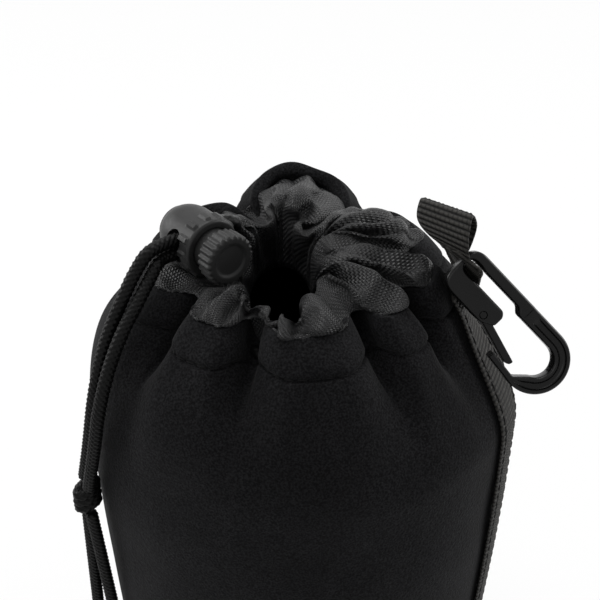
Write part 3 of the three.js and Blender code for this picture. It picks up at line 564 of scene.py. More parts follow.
def oxford_nylon():
    """Plain woven nylon with a thin coating: a visible thread grid with painted highlight on the thread tops
    and painted shade between them, satin gloss on the folds.
    """
    material, tree, shader = new_material("oxford_nylon")
    if not tree:
        return material
    colour = bpy.context.scene.pouch_colours.nylon
    cloth = add_node(tree, "ShaderNodeUVMap", uv_map="cloth").outputs[0]
    # Threads are about 0.35 mm; drawn at 0.7 mm so that they show.
    turn = {"Vector": cloth, "Rotation": (0, 0, 0.5), "Scale": (1 / 0.7,) * 3}
    turned = add_node(tree, "ShaderNodeMapping", turn)
    weave = add_node(tree, "ShaderNodeTexChecker", {"Vector": turned.outputs[0], "Scale": 1.0})
    axes = add_node(tree, "ShaderNodeSeparateXYZ", {0: turned.outputs[0]})
    tops = []
    for count in axes.outputs[:2]:
        angle = add_node(tree, "ShaderNodeMath", {0: count, 1: math.pi}, operation="MULTIPLY")
        wave = add_node(tree, "ShaderNodeMath", {0: angle.outputs[0]}, operation="SINE")
        top = add_node(tree, "ShaderNodeMath", {0: wave.outputs[0]}, operation="ABSOLUTE")
        tops.append(top.outputs[0])
    threads = {0: weave.outputs[1], 2: tops[0], 3: tops[1]}
    height = add_node(tree, "ShaderNodeMix", threads, data_type="FLOAT")
    # Painted light on the weave: the colour runs from a near-black copy of the nylon's colour between the
    # threads (painted shade) to a lighter copy on their tops (painted highlight).
    thread = add_node(tree, "ShaderNodeMapRange", {0: height.outputs[0], 1: 0.35, 2: 1.0})
    shades = {0: thread.outputs[0], 6: shade(colour, 0.05), 7: shade(colour, 1.7)}
    tone = add_node(tree, "ShaderNodeMix", shades, data_type="RGBA")
    surface = {"Height": height.outputs[0], "Strength": 0.9, "Distance": 0.2 * MM}
    bump = add_node(tree, "ShaderNodeBump", surface)
    tree.links.new(tone.outputs[2], shader.inputs["Base Color"])
    tree.links.new(bump.outputs[0], shader.inputs["Normal"])
    shader.inputs["Roughness"].default_value = 0.38
    shader.inputs["Specular IOR Level"].default_value = 0.29
    return material


def yarn(name, colour, roughness, scale, gloss_level=0.1):
    """Spun synthetic yarn: fine fibres give a soft, slightly mottled, half-matt face."""
    material, tree, shader = new_material(name)
    if not tree:
        return material
    spot = add_node(tree, "ShaderNodeTexCoord").outputs["Object"]
    fibre = add_node(tree, "ShaderNodeTexNoise", {"Vector": spot, "Scale": 1 / (scale * MM), "Detail": 3.0})
    shades = {0: fibre.outputs[0], 6: shade(colour, 0.5), 7: shade(colour, 1.5)}
    tone = add_node(tree, "ShaderNodeMix", shades, data_type="RGBA")
    surface = {"Height": fibre.outputs[0], "Strength": 0.4, "Distance": 0.1 * MM}
    bump = add_node(tree, "ShaderNodeBump", surface)
    tree.links.new(tone.outputs[2], shader.inputs["Base Color"])
    tree.links.new(bump.outputs[0], shader.inputs["Normal"])
    shader.inputs["Roughness"].default_value = roughness
    shader.inputs["Specular IOR Level"].default_value = gloss_level
    return material


def braided_polyester():
    """Braided polyester cord."""
    return yarn("braided_polyester", bpy.context.scene.pouch_colours.braid, 0.42, 0.35, 0.09)


def ribbed_webbing():
    """Woven polypropylene webbing: half-matt ribs of short stitches, with painted shade in the grooves
    between them and painted highlight on their crests.
    """
    material, tree, shader = new_material("polypropylene_webbing")
    if not tree:
        return material
    colour = bpy.context.scene.pouch_colours.webbing
    # The UV map counts ribs along the band and warp threads across it.
    counts = add_node(tree, "ShaderNodeUVMap", uv_map="cloth").outputs[0]
    axes = add_node(tree, "ShaderNodeSeparateXYZ", {0: counts})
    number = add_node(tree, "ShaderNodeMath", {0: axes.outputs[0]}, operation="FLOOR")
    shifted = add_node(
        tree, "ShaderNodeMath", {0: number.outputs[0], 1: 0.5, 2: axes.outputs[1]}, operation="MULTIPLY_ADD"
    )
    heights = []
    for count in (axes.outputs[0], shifted.outputs[0]):
        angle = add_node(tree, "ShaderNodeMath", {0: count, 1: math.pi}, operation="MULTIPLY")
        wave = add_node(tree, "ShaderNodeMath", {0: angle.outputs[0]}, operation="SINE")
        heights.append(add_node(tree, "ShaderNodeMath", {0: wave.outputs[0]}, operation="ABSOLUTE"))
    stitch = add_node(tree, "ShaderNodeMapRange", {0: heights[1].outputs[0], 1: 0.0, 2: 0.8, 3: 0.55, 4: 1.0})
    height = add_node(
        tree, "ShaderNodeMath", {0: heights[0].outputs[0], 1: stitch.outputs[0]}, operation="MULTIPLY"
    )
    # Painted shade and highlight: the colour runs from a dark copy of the webbing's colour in the grooves to
    # a light copy on the rib crests.
    lit = add_node(tree, "ShaderNodeMapRange", {0: height.outputs[0], 1: 0.25, 2: 0.95})
    shades = {0: lit.outputs[0], 6: shade(colour, 0.08), 7: shade(colour, 1.7)}
    tone = add_node(tree, "ShaderNodeMix", shades, data_type="RGBA")
    surface = {"Height": height.outputs[0], "Strength": 0.6, "Distance": 0.3 * MM}
    bump = add_node(tree, "ShaderNodeBump", surface)
    tree.links.new(tone.outputs[2], shader.inputs["Base Color"])
    tree.links.new(bump.outputs[0], shader.inputs["Normal"])
    shader.inputs["Roughness"].default_value = 0.55
    shader.inputs["Specular IOR Level"].default_value = 0.12
    return material


def binding_grosgrain():
    """Fine-ribbed polyester binding, darker than the webbing."""
    return yarn("polyester_grosgrain", shade(bpy.context.scene.pouch_colours.webbing, 0.6), 0.6, 0.3)


def sewing_thread():
    """Spun polyester sewing thread."""
    return yarn("polyester_thread", bpy.context.scene.pouch_colours.thread, 0.6, 0.25)


def plush_pile():
    """Short brushed pile, very dark because light is lost between its hairs."""
    return yarn("plush_pile", bpy.context.scene.pouch_colours.plush, 0.95, 1.2)


def moulded(name, colour, roughness, grain, relief, gloss_level):
    """Injection-moulded acetal: satin, with a fine spark-eroded grain and faint flow marks."""
    material, tree, shader = new_material(name)
    if not tree:
        return material
    spot = add_node(tree, "ShaderNodeTexCoord").outputs["Object"]
    fine = add_node(tree, "ShaderNodeTexNoise", {"Vector": spot, "Scale": 1 / (grain * MM), "Detail": 3.0})
    flow = add_node(tree, "ShaderNodeTexNoise", {"Vector": spot, "Scale": 1 / (5 * MM), "Detail": 3.0})
    shades = {0: flow.outputs[0], 6: shade(colour, 0.8), 7: shade(colour, 1.2)}
    tone = add_node(tree, "ShaderNodeMix", shades, data_type="RGBA")
    polish = {0: fine.outputs[0], 1: 0.3, 2: 0.7, 3: roughness - 0.06, 4: roughness + 0.08}
    gloss = add_node(tree, "ShaderNodeMapRange", polish)
    surface = {"Height": fine.outputs[0], "Strength": relief, "Distance": 0.06 * MM}
    bump = add_node(tree, "ShaderNodeBump", surface)
    tree.links.new(tone.outputs[2], shader.inputs["Base Color"])
    tree.links.new(gloss.outputs[0], shader.inputs["Roughness"])
    shader.inputs["Specular IOR Level"].default_value = gloss_level
    tree.links.new(bump.outputs[0], shader.inputs["Normal"])
    return material


def lock_acetal():
    """Satin acetal of the cord lock."""
    return moulded("satin_acetal", bpy.context.scene.pouch_colours.lock, 0.42, 0.5, 0.35, 0.2)


def hook_acetal():
    """Smoother, half-gloss acetal of the hook and its gate."""
    return moulded("half_gloss_acetal", bpy.context.scene.pouch_colours.hook, 0.24, 0.8, 0.15, 0.17)


def spring_steel():
    """Drawn spring wire: bright metal with fine lengthwise drawing marks."""
    material, tree, shader = new_material("drawn_spring_steel")
    if not tree:
        return material
    colour = bpy.context.scene.pouch_colours.wire
    spot = add_node(tree, "ShaderNodeTexCoord").outputs["Object"]
    marks = add_node(tree, "ShaderNodeTexNoise", {"Vector": spot, "Scale": 1 / (0.4 * MM), "Detail": 2.0})
    shades = {0: marks.outputs[0], 6: shade(colour, 0.8), 7: shade(colour, 1.05)}
    tone = add_node(tree, "ShaderNodeMix", shades, data_type="RGBA")
    tree.links.new(tone.outputs[2], shader.inputs["Base Color"])
    shader.inputs["Metallic"].default_value = 1.0
    shader.inputs["Roughness"].default_value = 0.3
    return material


# Cords


def braid_relief(turns, distance, carriers, step):
    """Height 0 to 1 of a two-way braid: round threads on both diagonals, over and under in turn."""
    a = carriers * turns + distance / step
    b = carriers * turns - distance / step
    profile_a = np.sqrt(np.maximum(1 - (2 * (a % 1) - 1) ** 2, 0))
    profile_b = np.sqrt(np.maximum(1 - (2 * (b % 1) - 1) ** 2, 0))
    over_a = np.where(np.floor(a) % 2 == 0, 1, -1) * np.sin(np.pi * b)
    over_b = -np.where(np.floor(b) % 2 == 0, 1, -1) * np.sin(np.pi * a)
    return np.maximum(profile_a * (0.62 + 0.38 * over_a), profile_b * (0.62 + 0.38 * over_b))


def tube_points(path, reference, radius, sides):
    """A round section of the given radius [rows, sides] carried along a path, square to it."""
    way = tangents(path)
    side = unit(np.cross(way, reference))
    up = np.cross(side, way)
    angle = TURN * np.arange(sides) / sides
    spokes = np.cos(angle)[None, :, None] * side[:, None] + np.sin(angle)[None, :, None] * up[:, None]
    return path[:, None] + radius[..., None] * spokes


def close_ends(points, start_rounding, end_rounding):
    """Adds shrinking rings and a pole at both ends of a tube, each a round cap of the given height."""
    theta = np.linspace(0, np.pi / 2, 6)[1:]
    first, last = points[0], points[-1]
    middle_first, middle_last = first.mean(0), last.mean(0)
    way_first = unit(middle_first - points[1].mean(0))
    way_last = unit(middle_last - points[-2].mean(0))
    start = (
        middle_first
        + (first - middle_first)[None] * np.cos(theta)[:, None, None]
        + way_first * start_rounding * np.sin(theta)[:, None, None]
    )
    end = (
        middle_last
        + (last - middle_last)[None] * np.cos(theta)[:, None, None]
        + way_last * end_rounding * np.sin(theta)[:, None, None]
    )
    return np.concatenate([start[::-1], points, end])


def braided_cord(name, route, reference, step_length=0.24, start_cap=0.6, end_cap=0.6):
    """A braided tube along a route: the radius rises and falls with the braid's threads."""
    sizes = bpy.context.scene.pouch_sizes
    radius = sizes.cord_diameter / MM / 2
    _, length = smooth_curve(route, 8)
    path, length = smooth_curve(route, int(length / step_length))
    sides = 44
    distance = np.linspace(0, length, len(path))[:, None]
    turns = np.arange(sides)[None] / sides
    relief = braid_relief(turns, distance, BRAID_CARRIERS, sizes.braid_step / MM)
    radii = radius * (BRAID_CORE + BRAID_DEPTH * relief)
    points = tube_points(path, np.asarray(reference, float), radii, sides)
    mesh = weld(grid_mesh(name, close_ends(points, start_cap, end_cap), around=True))
    piece = new_object(name, mesh, braided_polyester())
    return piece, path, length


def pair_route():
    """Middle of the two strands from the lock to the knot, and the way the outer strand lies from it."""
    up = UPRIGHT
    knot_top = KNOT_CENTRE + np.array((0.1, -0.15, 1.0)) / np.linalg.norm((0.1, -0.15, 1.0)) * 5.6
    steps = [
        (LOCK_CENTRE - 7.7 * CORD_OUT, up),
        (LOCK_CENTRE, up),
        (LOCK_CENTRE + 11 * CORD_OUT, up),
        ((-36.8, -20, 171.4), (-0.2, 0.3, 0.93)),
        ((-39.2, -23, 168.2), (-0.4, 0.45, 0.8)),
        ((-42, -27, 163.6), (-0.5, 0.6, 0.62)),
        ((-44.8, -30.5, 158.6), (-0.57, 0.7, 0.42)),
        ((-47.6, -33.5, 152), (-0.6, 0.76, 0.25)),
        ((-50, -35.6, 144), (-0.55, 0.82, 0.1)),
        ((-51.9, -36, 136), (-0.5, 0.85, 0)),
        ((-53.5, -35, 128), (-0.48, 0.87, 0)),
        ((-55.2, -33.3, 120), (-0.46, 0.88, 0)),
        ((-57, -31.5, 112), (-0.45, 0.88, 0)),
        (knot_top, (-0.45, 0.88, 0)),
    ]
    middles = np.array([middle for middle, _ in steps], float)
    across = np.array([way for _, way in steps], float)
    before = np.concatenate([middles[:1], middles[:-1]])
    after = np.concatenate([middles[1:], middles[-1:]])
    way = unit(after - before)
    across = across - (across * way).sum(-1, keepdims=True) * way
    return middles, unit(across)


def tail_route(side, spread, lean):
    """A tail that hangs from the knot and leans out a little."""
    share = np.array([0, 0.3, 0.65, 1])[:, None]
    top = KNOT_CENTRE - (KNOT_LENGTH / 2 + 0.6) * UPRIGHT
    fall = unit((lean, 0.09, -1))
    across = unit((-0.45, 0.88, 0))
    return top + fall * share * TAIL_LENGTH + across * side * (CORD_PITCH / 2 + spread * share)


def ring_route():
    """The cord inside the casing: from the lock round the mouth and back."""
    top = LOCK_CENTRE - 8 * CORD_OUT + CORD_PITCH / 2 * UPRIGHT
    low = LOCK_CENTRE - 8 * CORD_OUT - CORD_PITCH / 2 * UPRIGHT
    inset = 3.45
    angle = np.radians(np.linspace(215, -75, 12))
    ring = np.stack(
        [
            MOUTH_CENTRE[0] + (MOUTH_HALF_WIDTH + inset) * np.sin(angle),
            MOUTH_CENTRE[1] - (MOUTH_HALF_LENGTH + inset) * np.cos(angle),
            np.full_like(angle, CHANNEL_HEIGHT),
        ],
        -1,
    )
    start = [top, top - 1.5 * CORD_OUT, top - 3.5 * CORD_OUT - 1.5 * UPRIGHT, top + unit((0.5, 0.75, -1)) * 8]
    end = [low + unit((0.3, -0.4, -1)) * 8.5, low - 2.6 * CORD_OUT - 3 * UPRIGHT, low - 1.5 * CORD_OUT, low]
    return np.concatenate([start, ring, end])


class POUCH_OT_cords(bpy.types.Operator):
    """Braided drawcord: two strands, their knot, two tails and the ring in the casing"""

    bl_idname = "pouch.cords"
    bl_label = "Drawcord"

    def execute(self, context):
        middles, across = pair_route()
        knot = self.knot()
        for name, side, with_pieces in (("strand_outer", 1, [knot]), ("strand_inner", -1, [])):
            route = middles + across * side * CORD_PITCH / 2
            strand, path, length = braided_cord(name, route, (0.6, -0.75, 0.28))
            place(strand, "pouch", "braid", "cord_" + name)
            self.hang(strand, path, length, "knot", with_pieces)
        for name, side, spread, lean in (("tail_outer", 1, 2.5, -0.03), ("tail_inner", -1, 2.0, 0.04)):
            route = tail_route(side, spread, lean)
            tail, path, length = braided_cord(name, route, (1, 0, 0.0), end_cap=1.2)
            place(tail, "pouch", "braid", "cord_" + name)
            self.hang(tail, path, length, "bare", [])
        ring, _, _ = braided_cord("ring_cord", ring_route(), (0.2, -0.1, 1), step_length=0.5)
        place(ring, "pouch", "braid", "drawcord_ring")
        return {"FINISHED"}

    def hang(self, cord, path, length, far_end, with_pieces):
        """Takes a cord, its path, its length, its far end and the pieces with it; none of them is used and
        nothing is done.
        """

    def knot(self):
        """The knot's wraps: a flattened helix of cord, three turns leaning one way, pulled tight."""
        angle = np.linspace(-0.15, 3.15, 60) * TURN
        spin = math.radians(-62)
        wide = np.array((math.cos(spin + np.pi / 2), math.sin(spin + np.pi / 2), 0))
        thin = np.array((math.cos(spin), math.sin(spin), 0))
        rise = np.linspace(-0.36, 0.36, 60) * KNOT_LENGTH
        lean = 1.1 * np.cos(angle)
        helix = (
            KNOT_CENTRE
            + np.cos(angle)[:, None] * wide * 2.35
            + np.sin(angle)[:, None] * thin * 1.25
            + (rise + lean)[:, None] * UPRIGHT
        )
        knot, _, _ = braided_cord("knot_wraps", helix, (0.02, 0.01, 1), step_length=0.3)
        return place(knot, "pouch", "braid", "cord_knot")


# Sewing


def stitches(name, spots, ways, ups, length, thickness):
    """Short beads of thread: an ellipse along each way whose ends dip into the cloth."""
    rows, sides = 7, 6
    a = np.linspace(0, np.pi, rows)[:, None]
    b = TURN * np.arange(sides)[None] / sides
    girth = np.sin(a) ** 0.6 * thickness / 2
    along = np.broadcast_to(-np.cos(a) * length / 2, (rows, sides))
    beside = girth * np.cos(b)
    above = girth * np.sin(b) - 0.55 * thickness * np.cos(a) ** 4
    sides_of = np.cross(ups, ways)
    points = (
        spots[:, None, None]
        + along[None, ..., None] * ways[:, None, None]
        + beside[None, ..., None] * sides_of[:, None, None]
        + above[None, ..., None] * ups[:, None, None]
    )
    quads, _, _ = grid_faces(rows, sides, around=True)
    all_quads = (quads[None] + (np.arange(len(spots)) * rows * sides)[:, None, None]).reshape(-1, 4)
    mesh = weld(new_mesh(name, points.reshape(-1, 3), all_quads))
    return new_object(name, mesh, sewing_thread())


def even_spots(path, normals, pitch, closed=False):
    """Points at an even pitch along a path, its directions there, and the normals made square to those."""
    both = np.concatenate([path, normals], 1)
    loop = np.concatenate([both, both[:1]]) if closed else both
    distance = distances(loop[:, :3])
    count = int(distance[-1] / pitch)
    wanted = (np.arange(count) + 0.5) * distance[-1] / count
    here, ahead, behind = (sampled(loop, distance, wanted + shift) for shift in (0, 0.3, -0.3))
    ways = unit(ahead[:, :3] - behind[:, :3])
    ups = here[:, 3:] - (here[:, 3:] * ways).sum(-1, keepdims=True) * ways
    return here[:, :3], ways, unit(ups)


def sew(name, lines, closed=False):
    """A seam: stitches at an even pitch along lines, each a path and the cloth's normals along it."""
    sizes = bpy.context.scene.pouch_sizes
    pitch = (sizes.stitch_length + sizes.stitch_gap) / MM
    rows = [even_spots(path, normals, pitch, closed) for path, normals in lines]
    spots, ways, ups = (np.concatenate(parts) for parts in zip(*rows))
    seam = stitches(name, spots, ways, ups, sizes.stitch_length / MM, sizes.thread / MM)
    place(seam, "pouch", "braid")


# Padded wall


def wall_azimuths():
    """Columns of the wall: the same number in each lobe, closer together towards the folds."""
    share = (1 - np.cos(np.pi * np.arange(LOBE_COLUMNS) / LOBE_COLUMNS)) / 2
    widths = np.diff(np.append(FOLDS, FOLDS[0] + 360))
    return (FOLDS[:, None] + widths[:, None] * share[None]).ravel()


def wall_shares():
    """Rows of the wall's outside, closer together towards the rim."""
    return np.concatenate([np.linspace(-1, 0, 36)[:-1], np.linspace(0, 1, 104)])


def rim_distance(azimuth, shares):
    """Length down the surface from the rim, for each row and column."""
    points = shell_middle(azimuth[None], shares[:, None])
    steps = np.linalg.norm(np.diff(points, axis=0), axis=-1)
    down = np.cumsum(steps[::-1], axis=0)[::-1]
    return np.concatenate([down, np.zeros((1, len(azimuth)))])


def fold_crease(azimuth, shares):
    """The tight crease where two lobes press together, deepest at the rim: a narrow and a wider bell."""
    near = (np.abs(wrap(azimuth[:, None] - FOLDS[None])).min(1))[None]
    return -(4.5 * bell(near, 0, 1.3) + 2.4 * bell(near, 0, 4.0)) * smoothstep(shares, 0.42, 0.9)[:, None]


def wall_relief(azimuth, shares):
    """What the sewn foam adds to the skin: a hem that is thicker above its stitching, a groove along the
    stitching with a pucker for each stitch, tight folds near the rim, and soft waves."""
    sizes = bpy.context.scene.pouch_sizes
    hem = sizes.hem_depth / MM
    pitch = (sizes.stitch_length + sizes.stitch_gap) / MM
    down = rim_distance(azimuth, shares)
    points = shell_middle(azimuth[None], shares[:, None])
    swell = 0.6 * smoothstep(hem - down, -0.5, 2.0) * smoothstep(down, -1, 6)
    groove = -0.9 * bell(down, hem, 0.55)
    pucker = 0.1 * np.cos(TURN * np.round(TURN * 45 / pitch) * azimuth / 360)[None] * bell(down, hem, 1.8)
    soft = 0.45 * ripples(points, 34, 1.0) * smoothstep(shares, -0.9, 0.3)[:, None]
    drag = 0.5 * ripples(points * np.array((1.0, 1.0, 0.35)), 15, 2.0) * smoothstep(shares, 0.2, 0.9)[:, None]
    return swell + groove + pucker + fold_crease(azimuth, shares) + soft + drag


class POUCH_OT_wall(bpy.types.Operator):
    """Padded wall with its hem and the hem's stitching"""

    bl_idname = "pouch.wall"
    bl_label = "Padded wall"

    def execute(self, context):
        sizes = context.scene.pouch_sizes
        azimuth = wall_azimuths()
        shares = wall_shares()
        normal, upward = shell_ways(azimuth[None], shares[:, None])
        relief = wall_relief(azimuth, shares)
        outside = shell_middle(azimuth[None], shares[:, None]) + relief[..., None] * normal
        inner_shares = np.linspace(1, -1, 40)
        depth = fold_crease(azimuth, inner_shares) - WALL_THICKNESS
        inside = skin(azimuth[None], inner_shares[:, None], depth)
        theta = np.linspace(0, np.pi, 12)[1:-1][:, None, None]
        middle = (outside[-1] + inside[0]) / 2
        half = (outside[-1] - inside[0]) / 2
        reach = np.linalg.norm(half, axis=-1, keepdims=True)
        roll = middle + half * np.cos(theta) + upward[-1] * reach * np.sin(theta) * 0.5
        points = np.concatenate([outside, roll, inside])
        mesh = grid_mesh("padded_wall", points, around=True, along=True)
        wall = new_object("padded_wall", mesh, neoprene_jersey())
        place(wall, "pouch", "neoprene", "neoprene_wall")
        self.hem_stitches(sizes, azimuth, shares, outside, normal)
        return {"FINISHED"}

    def hem_stitches(self, sizes, azimuth, shares, outside, normal):
        """Stitches laid in the hem's groove."""
        down = rim_distance(azimuth, shares)
        row = np.abs(down - sizes.hem_depth / MM).argmin(0)
        columns = np.arange(WALL_COLUMNS)
        sew("hem_stitching", [(outside[row, columns], normal[row, columns])], closed=True)


# Gathered casing


def mouth_points(rim, height):
    """The drawn mouth: an ellipse, met by a straight line from its centre to each point of the rim."""
    x = (rim[..., 0] - MOUTH_CENTRE[0]) / MOUTH_HALF_WIDTH
    y = (rim[..., 1] - MOUTH_CENTRE[1]) / MOUTH_HALF_LENGTH
    far = np.hypot(x, y)
    return np.stack(
        [
            MOUTH_CENTRE[0] + MOUTH_HALF_WIDTH * x / far,
            MOUTH_CENTRE[1] + MOUTH_HALF_LENGTH * y / far,
            np.broadcast_to(height, far.shape),
        ],
        -1,
    )


def casing_surface(columns, rows):
    """The nylon before it is gathered: cubic curves from the rim over a puffed crown to the drawn mouth.
    At the back they start inside the rim, elsewhere on it, and the lock and the loop press them down."""
    azimuth = 360 * np.arange(columns) / columns
    one = np.ones(columns)
    _, upward = shell_ways(azimuth, one)
    back = bell(wrap(azimuth - DOME_AZIMUTH), 0, DOME_SPREAD)
    cover = lerp(COVER_FRONT, COVER_BACK, back)
    roll = HEM_ROLL * np.sqrt(np.maximum(1 - (cover / 2.25 - 1) ** 2, 0.02)) - EDGE_DROP * back
    rim = skin(azimuth, one, -cover) + upward * roll[:, None]
    inner = skin(azimuth, one, -cover - 1.5)
    press = LOCK_PRESS * bell(wrap(azimuth - LOCK_AZIMUTH), 0, LOCK_SPREAD)
    press = press + LOOP_PRESS * bell(wrap(azimuth - STRAP_TOP_AZIMUTH), 0, LOOP_SPREAD)
    puff = 2.0 + 1.2 * lobe_wave(azimuth) - 1.6 * bell(wrap(azimuth - 5), 0, 36) - 3.0 * back
    top = np.maximum(lerp(RIM_HEIGHT, rim[:, 2], 0.75) + puff - press, rim[:, 2] + lerp(0.6, -1.5, back))
    lip_height = np.maximum(LIP_HEIGHT + LIP_RISE * back - 0.5 * press, CHANNEL_HEIGHT + 6)
    mouth = mouth_points(inner, CHANNEL_HEIGHT)
    crown = lerp(inner, mouth, 0.38)
    crown[:, 2] = top
    bulge = lerp(rim, inner, 0.25)
    bulge[:, 2] = lerp(rim[:, 2], top, 0.6)
    shoulder = lerp(inner, mouth, 0.7)
    shoulder[:, 2] = lerp(top, lip_height, 0.6)
    lip = lerp(inner, mouth, 0.84)
    lip[:, 2] = lip_height - 2.5
    guides = np.stack([rim, bulge, crown, shoulder, lip, mouth])
    return spline_rows(guides, np.array([0.0, 0.14, 0.42, 0.68, 0.82, 1.0]), np.linspace(0, 1, rows))


def casing_looseness(columns):
    """How loose the cloth is round the mouth: little in the smooth dome at the back and under the lock."""
    azimuth = 360 * np.arange(columns)[None] / columns
    return 1 - 0.6 * bell(wrap(azimuth - 192), 0, 22) - 0.64 * bell(wrap(azimuth - LOCK_AZIMUTH), 0, 26)


def casing_fullness(columns, rows):
    """How much longer the cloth is than the pleated surface it springs out from."""
    t = np.linspace(0, 1, rows)[:, None]
    near_mouth = smoothstep(t, 0.72, 1)
    return 1.05 + 0.34 * casing_looseness(columns) * smoothstep(t, 0, 0.5) * (1 - 0.5 * near_mouth)


def pleated(points):
    """The surface with small pleats from the rim to the mouth: a sine of the azimuth, uneven in pitch."""
    rows, columns = points.shape[:2]
    angle = TURN * np.arange(columns)[None] / columns
    t = np.linspace(0, 1, rows)[:, None]
    phase = PLEATS * angle + 1.6 * np.sin(3 * angle + 0.6) + 1.1 * np.sin(5 * angle + 2)
    phase = phase + 0.8 * np.sin(3 * t + 4 * angle)
    rise = smoothstep(t, 0.04, 0.3) * (1 - smoothstep(t, 0.7, 1))
    height = PLEAT_HEIGHT * rise * casing_looseness(columns) * np.sin(phase)
    height = height + 0.25 * rise * ripples(points, 7, 4.0)
    return points + height[..., None] * surface_normals(points)


def row_lengths(points):
    """Lengths between neighbours along the closed rows of a grid."""
    return np.linalg.norm(np.roll(points, -1, 1) - points, axis=-1)


def gathered(points, fullness):
    """Cloth simulation: the grid is held along both edges and grows by its fullness, so that it buckles.
    It runs in units of 50 mm, where the solver is stable, and without gravity."""
    rows, columns = points.shape[:2]
    mesh = grid_mesh("cloth", points / CLOTH_UNIT / MM, around=True)
    cloth = new_object("cloth", mesh, oxford_nylon())
    held = cloth.vertex_groups.new(name="held")
    held.add(list(range(columns)) + list(range((rows - 1) * columns, rows * columns)), 1.0, "REPLACE")
    flat = cloth.vertex_groups.new(name="flat")
    most = fullness.max()
    levels = np.round(SHRINK_LEVELS * (most - fullness.ravel()) / (most - 1))
    for level in range(SHRINK_LEVELS + 1):
        flat.add(np.flatnonzero(levels == level).tolist(), level / SHRINK_LEVELS, "REPLACE")
    change = cloth.modifiers.new("gather", "CLOTH")
    settings = change.settings
    settings.vertex_group_mass = "held"
    settings.vertex_group_shrink = "flat"
    settings.shrink_min = 1 - most
    settings.shrink_max = 0
    settings.quality = 5
    settings.mass = 0.2
    settings.tension_stiffness = 15
    settings.compression_stiffness = 15
    settings.shear_stiffness = 5
    settings.bending_stiffness = 0.3
    settings.air_damping = 2
    settings.use_pressure = True
    settings.uniform_pressure_force = 0.12
    settings.effector_weights.gravity = 0
    change.collision_settings.use_collision = False
    change.point_cache.frame_end = GATHER_FRAMES
    scene = bpy.context.scene
    for step in range(1, GATHER_FRAMES + 1):
        scene.frame_set(step)
    graph = bpy.context.evaluated_depsgraph_get()
    result = cloth.evaluated_get(graph).data
    placed = np.empty(rows * columns * 3)
    result.vertices.foreach_get("co", placed)
    scene.frame_set(1)
    bpy.data.objects.remove(cloth)
    bpy.data.meshes.remove(mesh)
    return placed.reshape(rows, columns, 3) * CLOTH_UNIT


def clear_of_lock(points):
    """The cloth pressed down out of the room that the lock takes: a cylinder with round ends."""
    way = points - LOCK_CENTRE
    along = way @ LOCK_AXIS
    past = np.maximum(np.maximum(along - LOCK_ROOM_FRONT, -LOCK_ROOM_BACK - along), 0)
    aside = np.hypot(way @ CORD_OUT, past)
    depth = np.sqrt(np.maximum(LOCK_ROOM**2 - aside**2, 0))
    inside = np.abs(way[..., 2]) < depth
    pressed = points.copy()
    pressed[..., 2] = np.where(inside, LOCK_CENTRE[2] - depth, points[..., 2])
    return pressed


def spline_rows(guides, knots, wanted):
    """Cubic curves through rows of guide points, one curve for each column."""
    slopes = np.gradient(guides, knots, axis=0)
    index = np.clip(np.searchsorted(knots, wanted, side="right") - 1, 0, len(knots) - 2)
    span = (knots[index + 1] - knots[index])[:, None, None]
    w = ((wanted - knots[index]) / (knots[index + 1] - knots[index]))[:, None, None]
    p1, p2 = guides[index], guides[index + 1]
    m1, m2 = slopes[index] * span, slopes[index + 1] * span
    return p1 + m1 * w + (3 * (p2 - p1) - 2 * m1 - m2) * w**2 + (2 * (p1 - p2) + m1 + m2) * w**3


def surface_normals(points):
    """Normals of a grid whose columns run round, by central differences."""
    sideways = np.roll(points, -1, 1) - np.roll(points, 1, 1)
    upward = np.gradient(points, axis=0)
    return unit(np.cross(sideways, upward))


def cloth_uv(points, fullness):
    """UV map in millimetres of the cloth before it was gathered: lengths along its rows and columns."""
    across = np.concatenate([[0], np.cumsum((row_lengths(points) * fullness).max(0))])
    steps = np.linalg.norm(np.diff(points, axis=0), axis=-1) * fullness[:-1]
    down = np.concatenate([[0], np.cumsum(steps.mean(1))])
    u, v = np.meshgrid(across, down)
    return np.stack([u, v], -1)


class POUCH_OT_casing(bpy.types.Operator):
    """Gathered nylon casing round the mouth"""

    bl_idname = "pouch.casing"
    bl_label = "Gathered casing"

    def execute(self, context):
        points = pleated(casing_surface(CASING_COLUMNS, CASING_ROWS))
        fullness = casing_fullness(CASING_COLUMNS, CASING_ROWS)
        uv = cloth_uv(points, fullness)
        points = gathered(points, fullness)
        points = clear_of_lock(points)
        mesh = grid_mesh("gathered_casing", points, around=True, uv=uv)
        casing = new_object("gathered_casing", mesh, oxford_nylon())
        smooth = casing.modifiers.new("smooth", "SUBSURF")
        smooth.levels = smooth.render_levels = 1
        thick = casing.modifiers.new("thickness", "SOLIDIFY")
        thick.thickness = context.scene.pouch_sizes.nylon_thickness
        thick.offset = -1
        place(casing, "pouch", "nylon", "drawstring_casing")
        return {"FINISHED"}


# Lining, base and binding


